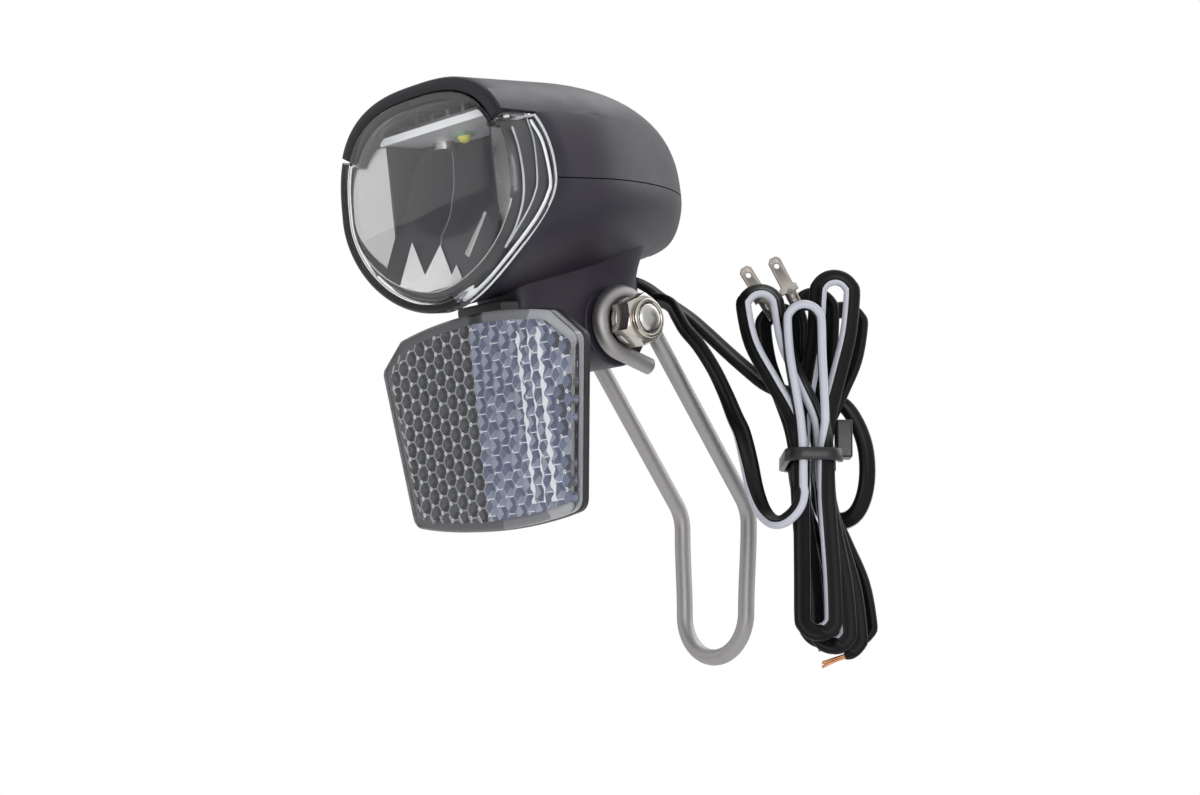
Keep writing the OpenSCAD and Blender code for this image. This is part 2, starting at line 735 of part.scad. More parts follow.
// Honeycomb of cells whose centres lie within the outline
function in_field(x, z) = let (
    half = refl_w / 2 - cell_margin - cell_r,
    foot = refl_foot_w / 2 - cell_margin - cell_r,
    d = refl_top_z - refl_shoulder_drop - z,
    side = mix(half, foot, d / (refl_h - refl_shoulder_drop)))
    abs(x) < (d > 0 ? side : half + d * refl_chamfer_w / refl_chamfer_h)
    && z < refl_top_z - cell_margin - cell_r - x * x / (2 * top_arc_r)
    && z > refl_top_z - refl_h + cell_margin + cell_r + x * x / (2 * foot_arc_r);

module cell_field() {
    mid = refl_top_z - refl_h / 2;
    for (c = [-cell_cols:cell_cols], r = [-cell_rows:cell_rows]) {
        x = c * cell_pitch * cos(30);
        z = mid + (r + (abs(c) % 2) / 2) * cell_pitch;
        if (in_field(x, z)) translate([x, z]) circle(r = cell_r, $fn = 6);
    }
}

prism_back = refl_face_y + prism_t;

module reflector_prism() {
    color("white", 0.5) on_head() {
        forwards(prism_back - cell_depth, prism_t - cell_depth - 0.6) reflector_outline(0);
        forwards(refl_face_y + 0.6, 0.6) reflector_outline(-0.6);
        forwards(prism_back, cell_depth) difference() {
            reflector_outline(0);
            cell_field();
        }
    }
}

plate_back = prism_back + plate_t;
tab_w = 14;
// The tab stays clear of the belly above it
tab_z = parting_z - belly_h + belly_rise * (prism_back - hood_y) - 2 * seat;

module reflector_plate() {
    color("#1d1c20") on_head() {
        forwards(plate_back, plate_t) reflector_outline(plate_rim);
        translate([-tab_w / 2, plate_back - plate_t, arm_low_z])
            cube([tab_w, arm_y - plate_back + plate_t, tab_z - arm_low_z]);
        translate([0, arm_y, peg_z]) rotate([-90, 0, 0]) cylinder(h = peg_len, r = peg_r);
    }
}

// Leads. Points are counted from the pivot, in axes that are level at the tilt shown.
cord_level = 9;

module cord_axes() {
    on_head() rotate([-cord_level, 0, 0]) children();
}

// Hank axes: w to the right as seen from the front quarter, n towards the viewer, z up
hank_turn = 47.5;
hank_at = [37.6, 27, -29.4];
hank_w = [cos(hank_turn), sin(hank_turn), 0];
hank_n = [sin(hank_turn), -cos(hank_turn), 0];
function in_hank(p) = hank_at + p[0] * hank_w + p[1] * hank_n + [0, 0, p[2]];

// Folds of the two leads: sideways place and height above or below the waist
layer = lead_t + hank_gap;
dynamo_top = [[-2, 31.5], [-10.8, 35], [5, 38.5]];
dynamo_foot = [[0.8, 36.5], [4, 39], [6.5, 40]];
tail_top = [[8, 34], [1.5, 36.5], [-6, 32.5]];
tail_foot = [[9.4, 37], [5.5, 38.5], [2.4, 37.5]];
fold_n = 6;
run_n = 3;

// Half of a loop's run between the waist and a fold, eased at both ends
function run_w(from, to, t) = mix(from, to, ease(t));

// One loop, seen from the front: up the first run, over the fold, down through the waist, round the foot.
// side is 1 where the first run is on the left, -1 where it is on the right. n0 and dn set the layers.
function loop_points(top, foot, side, n0, dn) = let (
    tw = top[0], th = top[1] - fold_r, fw = foot[0], fh = foot[1] - foot_fold_r)
    concat(
        [for (i = [0:run_n]) let (t = i / (run_n + 1))
            [run_w(-side * waist_x, tw - side * fold_r, t), n0, th * t]],
        [for (i = [0:fold_n]) let (a = 180 * i / fold_n)
            [tw - side * fold_r * cos(a), n0, th + fold_r * sin(a)]],
        [for (i = [run_n:-1:1]) let (t = i / (run_n + 1))
            [run_w(side * waist_x, tw + side * fold_r, t), n0, th * t]],
        [[side * waist_x, n0 + dn / 2, 0]],
        [for (i = [1:run_n]) let (t = i / (run_n + 1))
            [run_w(side * waist_x, fw + side * foot_fold_r, t), n0 + dn, -fh * t]],
        [for (i = [0:fold_n]) let (a = 180 * i / fold_n)
            [fw + side * foot_fold_r * cos(a), n0 + dn, -fh - foot_fold_r * sin(a)]],
        [for (i = [run_n:-1:1]) let (t = i / (run_n + 1))
            [run_w(-side * waist_x, fw - side * foot_fold_r, t), n0 + dn, -fh * t]]);

function hank_points(tops, feet, side, n0, dn) = [for (k = [0:hank_loops - 1])
    each loop_points(tops[k], feet[k], side, n0 + k * dn, dn)];

// Entry from below the waist, all loops, and the last free end
entry_z = -6.5;
// Gap where one solid of a lead ends and the next one starts
end_gap = 0.25;
dynamo_n = 3.5 * layer;
dynamo_loops = hank_points(dynamo_top, dynamo_foot, 1, dynamo_n, -layer);
dynamo_cut = len(dynamo_loops) - run_n - 4;
dynamo_hank_path = concat([[-waist_x, dynamo_n, entry_z], [-waist_x, dynamo_n, entry_z / 2]],
    [for (i = [0:dynamo_cut]) dynamo_loops[i]]);
tail_n = -3.5 * layer;
tail_loops = hank_points(tail_top, tail_foot, -1, tail_n, layer);
tail_last_n = tail_n + hank_loops * layer;
tail_end = [[waist_x, tail_last_n, 0], [2.4, tail_last_n, 7], [1.2, tail_last_n, 14], [-1.4, tail_last_n, 21]];
tail_hank_path = concat([[waist_x, tail_n, entry_z], [waist_x, tail_n, entry_z / 2]], tail_loops, tail_end);

// Clear distance between parts of a hank that aren't neighbours along the lead
function self_gap(p) = min([for (i = [0:len(p) - 1], j = [i + 5:1:len(p) - 1])
    max(abs(p[i][1] - p[j][1]) - lead_t, norm([p[i][0] - p[j][0], p[i][2] - p[j][2]]) - lead_w)]);
echo(least_gap_dynamo_lead_hank = self_gap(dynamo_hank_path));
echo(least_gap_tail_light_lead_hank = self_gap(tail_hank_path));

function path_length(p) = [for (i = [1:len(p) - 1]) norm(p[i] - p[i - 1])] * [for (i = [1:len(p) - 1]) 1];
function facing_sides(p) = [for (t = tangents(p)) unit(cross(hank_n, t))];

module flat_lead(path, n) {
    tube(path, facing_sides(path), lead_w / 2 * cos(180 / n), lead_t / 2, n);
}

hank_sides = 6;
free_sides = 8;
dynamo_hank_world = [for (p = dynamo_hank_path) in_hank(p)];
tail_hank_world = [for (p = tail_hank_path) in_hank(p)];

// Where the leads leave the grommet, in the level axes
function exit_point(z) = let (y = neck_back + grommet_out + end_gap)
    [lead_exit_x, y * cos(cord_level) - z * sin(cord_level), y * sin(cord_level) + z * cos(cord_level)];

// Last stretches of the two leads, in the hank's axes
dynamo_approach = [[-14.4, -0.1, 5.6], [-13, 0, -0.2], [-11.9, 0.8, -6], [-10.5, 2.4, -10.6],
    [-8.8, 4.8, -13.2], [-6.9, 7.2, -13.8], [-4.8, 8.5, -12.6], [-waist_x - 0.7, dynamo_n, entry_z - 3.9],
    [-waist_x - 0.1, dynamo_n, entry_z - 1.5], [-waist_x, dynamo_n, entry_z - end_gap]];
tail_approach = [[-8, -11.6, 17.8], [-1.8, -12, 15.8], [4.4, -11.8, 15.4], [8.4, -11, 13.4],
    [10.9, -9.2, 9.2], [12.4, -7.4, 4], [12.7, -6.4, -1.6], [12, -6.4, -6.6], [10.4, -7.4, -10.2],
    [8, -8.6, -11.8], [5.2, -8.9, -11.4], [waist_x + 0.7, tail_n, entry_z - 3.1],
    [waist_x + 0.1, tail_n, entry_z - 1.3], [waist_x, tail_n, entry_z - end_gap]];

dynamo_route = concat([exit_point(lower_exit_z)], [
    [2.4, 9.9, 7.2], [4.2, 11.3, 7.3], [7.5, 12, 7], [11, 11.8, 5.4], [13.8, 11, 2.6], [16.4, 10.8, -0.7],
    [19.6, 11.8, -4.6], [22.6, 13.2, -9.8], [24.8, 14.4, -15], [26.6, 15.6, -20.4]],
    [for (p = dynamo_approach) in_hank(p)]);
tail_route = concat([exit_point(upper_exit_z)], [
    [2.3, 9.6, 11.5], [2.8, 12.6, 10.6], [4.2, 15.2, 8.6], [6.6, 17.2, 6.4], [9.9, 18.9, 3.6], [13.4, 20.7, 0],
    [17, 22.6, -3.9], [20.8, 25, -8]],
    [for (p = tail_approach) in_hank(p)]);
echo(dynamo_lead_mm = path_length(dynamo_route) + path_length(dynamo_hank_world));
echo(tail_light_lead_mm = path_length(tail_route) + path_length(tail_hank_world));

module dynamo_lead() {
    color("#19181b") cord_axes() flat_lead(dynamo_route, free_sides);
}

module dynamo_lead_hank() {
    color("#201f22") cord_axes() flat_lead(dynamo_hank_world, hank_sides);
}

module tail_light_lead() {
    color("#19181b") cord_axes() flat_lead(tail_route, free_sides);
}

module tail_light_lead_hank() {
    color("#201f22") cord_axes() flat_lead(tail_hank_world, hank_sides);
}

// Bare conductors at the end of the dynamo lead
copper_len = 5;
copper_r = 0.55;
core_gap = lead_w / 4;

module copper_ends() {
    last = len(dynamo_hank_world) - 1;
    from = dynamo_hank_world[last];
    dir = unit(from - dynamo_hank_world[last - 1]);
    side = unit(cross(hank_n, dir));
    color("peru") cord_axes() for (s = [1, -1]) {
        path = [for (d = [0, 0.4, 1])
            from + dir * (end_gap + copper_len * d) + side * s * (core_gap + 0.8 * d)];
        tube(path, carried_sides(tangents(path), hank_n), copper_r, copper_r, 8);
    }
}

// The tail light lead splits into two cores, each with a spade terminal
core_r = lead_t / 2;
blade_t = 0.8;
barrel_len = 4.5;
barrel_r = 1.35;
blade_hole_r = 0.6;
core_foot = tail_hank_world[len(tail_hank_world) - 1];
core_up = unit(core_foot - tail_hank_world[len(tail_hank_world) - 2]);
core_side = unit(cross(hank_n, core_up));
// Splayed directions of the two terminals in the hank's plane, and where they start
spade_lean = [31, 27];
spade_at = [[-7.6, -0.4, 30.7], [-2.2, -0.4, 32.4]];
function leaning(a) = -sin(a) * hank_w + [0, 0, cos(a)];
function core_path(i) = let (
    from = core_foot + core_up * end_gap + core_side * (i == 0 ? 1 : -1) * core_gap,
    to = in_hank(spade_at[i]) - leaning(spade_lean[i]) * end_gap,
    span = norm(to - from))
    [for (t = [0:0.2:1]) mix(from + core_up * span * t, to - leaning(spade_lean[i]) * span * (1 - t), ease(t))];

module tail_light_cores() {
    color("#19181b") cord_axes() for (i = [0, 1]) {
        path = core_path(i);
        tube(path, carried_sides(tangents(path), hank_n), core_r * 0.96, core_r * 0.96, 8);
    }
}

module spade_terminals() {
    color("rosybrown") cord_axes() for (i = [0, 1])
        translate(in_hank(spade_at[i])) rotate([0, 0, hank_turn]) rotate([0, -spade_lean[i], 0]) spade();
}

// Spade terminal: crimp barrel, shoulders and a flat blade with a hole, from the core's end upwards
module spade() {
    shoulder = 1.2;
    cylinder(h = barrel_len, r = barrel_r);
    translate([-blade_w * 0.7, -blade_t / 2, barrel_len - 0.1]) cube([blade_w * 1.4, blade_t, shoulder + 0.1]);
    difference() {
        translate([0, blade_t / 2, barrel_len + shoulder - 0.1]) rotate([90, 0, 0]) linear_extrude(blade_t)
            polygon([[-blade_w / 2, 0], [blade_w / 2, 0], [blade_w / 2, blade_len - 0.8],
                [blade_w / 2 - 0.7, blade_len], [0.7 - blade_w / 2, blade_len], [-blade_w / 2, blade_len - 0.8]]);
        translate([0, 1, barrel_len + shoulder + blade_len - 2]) rotate([90, 0, 0]) cylinder(h = 2, r = blade_hole_r);
    }
}

// Cable tie: a band round the waist and its head on the right
tie_clear = 0.5;
tie_in_w = waist_x + lead_w / 2 + tie_clear;
tie_in_n = 3.5 * layer + lead_t / 2 + tie_clear;
tie_corner = 3 * tie_clear;
tie_head = [3.4, 5, 8];
tie_head_z = 0.4;

module tie_outline(grow) {
    a = tie_in_w - tie_corner;
    b = tie_in_n - tie_corner;
    translate([-a, -b - tie_corner - grow]) square([2 * a, 2 * (b + tie_corner + grow)]);
    translate([-a - tie_corner - grow, -b]) square([2 * (a + tie_corner + grow), 2 * b]);
    for (x = [-a, a], y = [-b, b]) translate([x, y]) circle(r = tie_corner + grow);
}

module cable_tie() {
    color("#151517") cord_axes() translate(hank_at) rotate([0, 0, hank_turn]) {
        translate([0, 0, -tie_w / 2]) linear_extrude(tie_w) difference() {
            tie_outline(tie_t);
            tie_outline(0);
        }
        translate([tie_in_w + 0.3, -tie_head[1] / 2, tie_head_z]) cube(tie_head);
    }
}

wire_bracket();
pivot_bolt();
pivot_nut();
pivot_washers();
upper_shell();
lower_shell();
front_lens();
beam_mirror();
emitter_board();
light_emitter();
heat_sink();
board_screws();
driver_board();
capacitor();
rectifier_diodes();
driver_screws();
shell_screws();
cable_grommet();
reflector_plate();
reflector_prism();
dynamo_lead();
dynamo_lead_hank();
copper_ends();
tail_light_lead();
tail_light_lead_hank();
tail_light_cores();
spade_terminals();
cable_tie();
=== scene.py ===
"""Bicycle headlight with a wire bracket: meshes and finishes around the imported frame.

Sizes are in millimetres in the classes and become metres on the meshes. The head is drawn in its own
axes, whose origin lies just behind the pivot bolt, and is then set on the tilted pivot.
"""

import logging
import math
from contextlib import contextmanager
from dataclasses import dataclass, field
from enum import Enum
from functools import partial
from typing import Callable, Iterator, Sequence

import bpy
import numpy as np
from mathutils import Matrix, Vector


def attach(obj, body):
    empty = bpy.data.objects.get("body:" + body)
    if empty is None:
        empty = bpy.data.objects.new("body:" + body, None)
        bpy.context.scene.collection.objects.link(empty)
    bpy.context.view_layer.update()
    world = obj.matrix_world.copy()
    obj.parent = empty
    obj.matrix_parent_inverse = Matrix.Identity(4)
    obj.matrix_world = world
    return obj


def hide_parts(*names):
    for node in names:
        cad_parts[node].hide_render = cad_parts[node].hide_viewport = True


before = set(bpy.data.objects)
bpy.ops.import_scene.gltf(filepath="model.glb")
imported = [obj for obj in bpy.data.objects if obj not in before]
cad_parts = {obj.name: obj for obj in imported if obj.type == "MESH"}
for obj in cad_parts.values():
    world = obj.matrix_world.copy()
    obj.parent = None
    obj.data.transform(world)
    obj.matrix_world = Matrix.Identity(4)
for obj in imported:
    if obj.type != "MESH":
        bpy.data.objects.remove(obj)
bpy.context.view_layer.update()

LOG = logging.getLogger("headlight")
MM = 0.001
Pair = tuple[float, float]
Triple = tuple[float, float, float]
Colour = tuple[float, float, float]
Rows = Sequence[Sequence[Triple]]
Piece = bpy.types.Object
Tree = bpy.types.NodeTree
Socket = bpy.types.NodeSocket

PIVOT: Triple = (0.0, -38.5, 59.3)
HEAD_TILT = 9.0
BODY_BACK = 1.9
HEAD_AXES = (
    Matrix.Translation(Vector(PIVOT) * MM)
    @ Matrix.Rotation(math.radians(HEAD_TILT), 4, "X")
    @ Matrix.Translation((0.0, BODY_BACK * MM, 0.0))
)
PIVOT_AXES = Matrix.Translation(Vector(PIVOT) * MM)


class Body(Enum):
    """The two bodies that the pivot joins."""

    BRACKET = "bracket"
    HEAD = "head"


class Effect(Enum):
    """Shader effects that several finishes share."""

    GRAIN = "moulded_grain"
    DRAWN = "drawn_metal"
    SMUDGE = "handled_gloss"


def mix(a: float, b: float, t: float) -> float:
    """Value between a and b at share t."""
    return a + (b - a) * t


def ease(t: float) -> float:
    """Share that starts and ends gently."""
    return (1.0 - math.cos(math.pi * t)) / 2.0


def unit(v: np.ndarray) -> np.ndarray:
    """Vector of length one, row by row."""
    return v / np.linalg.norm(v, axis=-1, keepdims=True)


def tangents(path: np.ndarray) -> np.ndarray:
    """Directions along a path, one for each of its points."""
    return unit(np.gradient(path, axis=0))


def carried_sides(path: np.ndarray, first: Sequence[float]) -> np.ndarray:
    """Side vectors that turn as little as possible along a path.

    Args:
        path: Points of the path.
        first: Side wanted at its start.

    Returns:
        One side vector for each point.
    """
    side = np.array(first, float)
    found = []
    for t in tangents(path):
        side = unit(side - (side @ t) * t)
        found.append(side)
    return np.array(found)


def rounded(path: np.ndarray, steps: int) -> np.ndarray:
    """Smooth curve through chosen points.

    Args:
        path: Points that the curve passes.
        steps: Stretches between two of them.

    Returns:
        The finer points.
    """
    p = np.vstack([2 * path[0] - path[1], path, 2 * path[-1] - path[-2]])
    fine = []
    for a, b, c, d in zip(p, p[1:], p[2:], p[3:]):
        bend, twist = 2 * a - 5 * b + 4 * c - d, 3 * b - a - 3 * c + d
        for t in (k / steps for k in range(steps)):
            fine.append(0.5 * (2 * b + (c - a) * t + bend * t**2 + twist * t**3))
    return np.array(fine + [path[-1]])


def filleted(corners: Sequence[Triple]) -> list[Pair]:
    """Outline whose corners are rounded.

    Args:
        corners: Sideways place, height and radius of each corner.

    Returns:
        Points of the outline.
    """
    found: list[Pair] = []
    for i, (x, z, radius) in enumerate(corners):
        at = Vector((x, z))
        if not radius:
            found.append((x, z))
            continue
        a = (Vector(corners[i - 1][:2]) - at).normalized()
        b = (Vector(corners[(i + 1) % len(corners)][:2]) - at).normalized()
        half = a.angle(b) / 2
        middle = at + (a + b).normalized() * (radius / math.sin(half))
        reach = radius / math.tan(half)
        first, last = at + a * reach - middle, at + b * reach - middle
        for k in range(7):
            way = (first * (1 - k / 6) + last * (k / 6)).normalized() * radius
            found.append(tuple(middle + way))
    return found


class Bench:
    """Modelling steps in Blender that the pieces share."""

    @staticmethod
    def clear() -> None:
        """Leaves edit mode with nothing selected."""
        if bpy.context.object is not None and bpy.context.object.mode != "OBJECT":
            bpy.ops.object.mode_set(mode="OBJECT")
        bpy.ops.object.select_all(action="DESELECT")

    @staticmethod
    def pick(piece: Piece) -> None:
        """Makes a piece the only selected and active one."""
        Bench.clear()
        piece.select_set(True)
        bpy.context.view_layer.objects.active = piece

    @staticmethod
    @contextmanager
    def editing(piece: Piece, whole: bool = True) -> Iterator[None]:
        """Edit mode on a piece, with all of it selected unless its own selection is kept."""
        Bench.pick(piece)
        bpy.ops.object.mode_set(mode="EDIT")
        if whole:
            bpy.ops.mesh.select_all(action="SELECT")
        yield
        bpy.ops.object.mode_set(mode="OBJECT")

    @staticmethod
    def named(name: str) -> Piece:
        """Names the object that was just added."""
        piece = bpy.context.active_object
        piece.name = piece.data.name = name
        return piece

    @staticmethod
    def loft(name: str, rows: Rows) -> Piece:
        """Adds a grid and draws its vertices to rows of points.

        Args:
            name: Name of the piece.
            rows: Equally long rows of points.

        Returns:
            The open surface.
        """
        Bench.clear()
        across, along = len(rows[0]), len(rows)
        bpy.ops.mesh.primitive_grid_add(x_subdivisions=across - 1, y_subdivisions=along - 1, size=1.0)
        piece = Bench.named(name)
        flat = np.array(rows, float).reshape(-1) * MM
        piece.data.vertices.foreach_set("co", flat)
        piece.data.update()
        return piece

    @staticmethod
    def sew(piece: Piece, fill: bool = False, angle: float = 35.0) -> Piece:
        """Merges doubles, closes holes if asked, turns the faces outwards and shades the piece.

        Args:
            piece: Mesh to close.
            fill: True where open edges get a face.
            angle: Sharpest edge, in degrees, that is still shaded smooth.

        Returns:
            The same piece.
        """
        with Bench.editing(piece):
            bpy.ops.mesh.remove_doubles(threshold=2e-6)
            bpy.ops.mesh.dissolve_degenerate(threshold=1e-6)
            if fill:
                bpy.ops.mesh.select_all(action="SELECT")
                bpy.ops.mesh.fill_holes(sides=0)
            bpy.ops.mesh.select_all(action="SELECT")
            bpy.ops.mesh.normals_make_consistent(inside=False)
        return Bench.shade(piece, angle)

    @staticmethod
    def shade(piece: Piece, angle: float = 35.0) -> Piece:
        """Shades a piece smooth where its edges are blunter than an angle in degrees."""
        Bench.pick(piece)
        bpy.ops.object.shade_smooth_by_angle(angle=math.radians(angle))
        return piece

    @staticmethod
    def join(name: str, parts: Sequence[Piece]) -> Piece:
        """Joins meshes into one piece of that name."""
        Bench.pick(parts[0])
        for part in parts[1:]:
            part.select_set(True)
        bpy.ops.object.join()
        return Bench.named(name)

    @staticmethod
    def settle(piece: Piece, axes: Matrix) -> Piece:
        """Puts a piece's place into its mesh, seen from the given axes."""
        piece.data.transform(axes @ piece.matrix_world)
        piece.matrix_world = Matrix.Identity(4)
        piece.data.update()
        return piece

    @staticmethod
    def modify(piece: Piece, kind: str, **settings: object) -> Piece:
        """Adds a modifier, sets it and applies it."""
        Bench.pick(piece)
        step = piece.modifiers.new(kind.lower(), kind)
        for key, value in settings.items():
            setattr(step, key, value)
        bpy.ops.object.modifier_apply(modifier=step.name)
        return piece

    @staticmethod
    def thicken(piece: Piece, thickness: float, offset: float = 0.0) -> Piece:
        """Gives an open sheet a thickness in millimetres, to both sides unless it is offset."""
        return Bench.modify(piece, "SOLIDIFY", thickness=thickness * MM, offset=offset)

    @staticmethod
    def bevel(piece: Piece, width: float, segments: int = 2, angle: float = 35.0) -> Piece:
        """Rounds the edges that are sharper than an angle by a width in millimetres."""
        Bench.modify(
            piece, "BEVEL", width=width * MM, segments=segments, limit_method="ANGLE",
            angle_limit=math.radians(angle), use_clamp_overlap=True, harden_normals=False,
        )
        return Bench.shade(piece, 40.0)

    @staticmethod
    def cut(piece: Piece, tool: Piece, way: str = "DIFFERENCE") -> Piece:
        """Cuts a piece with a tool, which is used up."""
        Bench.modify(piece, "BOOLEAN", operation=way, object=tool, solver="EXACT")
        bpy.data.objects.remove(tool, do_unlink=True)
        return piece

    @staticmethod
    def rod(name: str, start: Triple, end: Triple, radius: float, sides: int = 48) -> Piece:
        """Plain round bar between two points, the blank for a turned piece or a cutter.

        Args:
            name: Name of the piece.
            start: Centre of one end.
            end: Centre of the other end.
            radius: Radius of the bar.
            sides: Sides of the circle.

        Returns:
            The bar, with its place in its mesh.
        """
        a, b = Vector(start), Vector(end)
        Bench.clear()
        bpy.ops.mesh.primitive_cylinder_add(vertices=sides, radius=radius * MM, depth=(b - a).length * MM)
        piece = Bench.named(name)
        turn = (b - a).to_track_quat("Z", "Y").to_matrix().to_4x4()
        return Bench.settle(piece, Matrix.Translation((a + b) / 2 * MM) @ turn)

    @staticmethod
    def slab(name: str, outline: Sequence[Pair], lift: Callable[[float, float], Triple],
             depth: Triple, corner: float = 0.0) -> Piece:
        """Flat outline that is drawn out to a solid.

        Args:
            name: Name of the piece.
            outline: Corners of the outline, in order.
            lift: Turns a corner into a point in space.
            depth: The way, and how far, the outline is drawn out.
            corner: Radius that rounds the outline's corners first.

        Returns:
            The closed solid.
        """
        Bench.clear()
        bpy.ops.mesh.primitive_circle_add(vertices=len(outline), fill_type="NGON")
        piece = Bench.named(name)
        flat = np.array([lift(*p) for p in outline], float).reshape(-1) * MM
        piece.data.vertices.foreach_set("co", flat)
        with Bench.editing(piece):
            if corner:
                bpy.ops.mesh.bevel(offset=corner * MM, segments=6, affect="VERTICES")
                bpy.ops.mesh.select_all(action="SELECT")
            bpy.ops.mesh.extrude_region_move(TRANSFORM_OT_translate={"value": tuple(x * MM for x in depth)})
        return Bench.sew(piece)

    @staticmethod
    def turned(name: str, stations: Sequence[Pair], fill: bool = False) -> Piece:
        """Solid that is turned about X.

        Args:
            name: Name of the piece.
            stations: Place and radius of each ring.
            fill: True where its open ends get a face.

        Returns:
            The solid.
        """
        rows = [[(x, r * c, r * s) for c, s in around(49)] for x, r in stations]
        return Bench.sew(Bench.loft(name, rows), fill)

    @staticmethod
    def sweep(name: str, path: np.ndarray, sides: np.ndarray, profile: Sequence[Pair],
              tip: float = 0.0, marked: Sequence[int] = ()) -> Piece:
        """Draws a profile along a path to a closed tube.

        Args:
            name: Name of the piece.
            path: Points of the path.
            sides: Side vector at each point, along the profile's first axis.
            profile: Points of the profile, anticlockwise.
            tip: Length of the rounded ends.
            marked: Sides of the profile that get the second material.

        Returns:
            The tube.
        """
        ways = tangents(path)
        ups = np.cross(ways, sides)
        ring = list(profile) + [profile[0]]

        def row(i: int, size: float, shift: float) -> list[Triple]:
            """One ring at a path point, shrunk and shifted along the path."""
            at = path[i] + ways[i] * shift
            return [tuple(at + size * (a * sides[i] + b * ups[i])) for a, b in ring]

        rows = [row(i, 1.0, 0.0) for i in range(len(path))]
        if tip:
            caps = [(math.cos(a), math.sin(a)) for a in (0.4, 0.8, 1.15, 1.4)]
            rows = ([row(0, c, -s * tip) for c, s in reversed(caps)] + rows
                    + [row(-1, c, s * tip) for c, s in caps])
        tube = Bench.loft(name, rows)
        for face in tube.data.polygons:
            face.material_index = int(face.index % len(profile) in marked)
        return Bench.sew(tube, fill=True, angle=50.0)


def around(count: int) -> list[Pair]:
    """Cosine and sine at points round a full turn, of which the last closes it."""
    return [(math.cos(a), math.sin(a)) for a in np.linspace(0, 2 * math.pi, count)]


def circle(radius: float, sides: int) -> list[Pair]:
    """Round profile for a sweep."""
    turn = 2 * math.pi / sides
    return [(radius * math.cos(turn * k), radius * math.sin(turn * k)) for k in range(sides)]


def feed(tree: Tree, node: bpy.types.Node, takes: dict[str | int, object]) -> None:
    """Links sockets to a node's inputs or sets their values, by name or number."""
    for key, value in takes.items():
        if isinstance(value, Socket):
            tree.links.new(value, node.inputs[key])
        else:
            node.inputs[key].default_value = value


def add(tree: Tree, kind: str, takes: dict[str | int, object] | None = None,
        **settings: object) -> bpy.types.bpy_prop_collection:
    """Adds a shader node, sets it and feeds its inputs.

    Args:
        tree: Tree that it goes into.
        kind: Its type, without the common prefix.
        takes: Sockets or values for its inputs.
        settings: Values of its own settings.

    Returns:
        Its outputs.
    """
    node = tree.nodes.new(f"ShaderNode{kind}")
    for key, value in settings.items():
        setattr(node, key, value)
    feed(tree, node, takes or {})
    return node.outputs


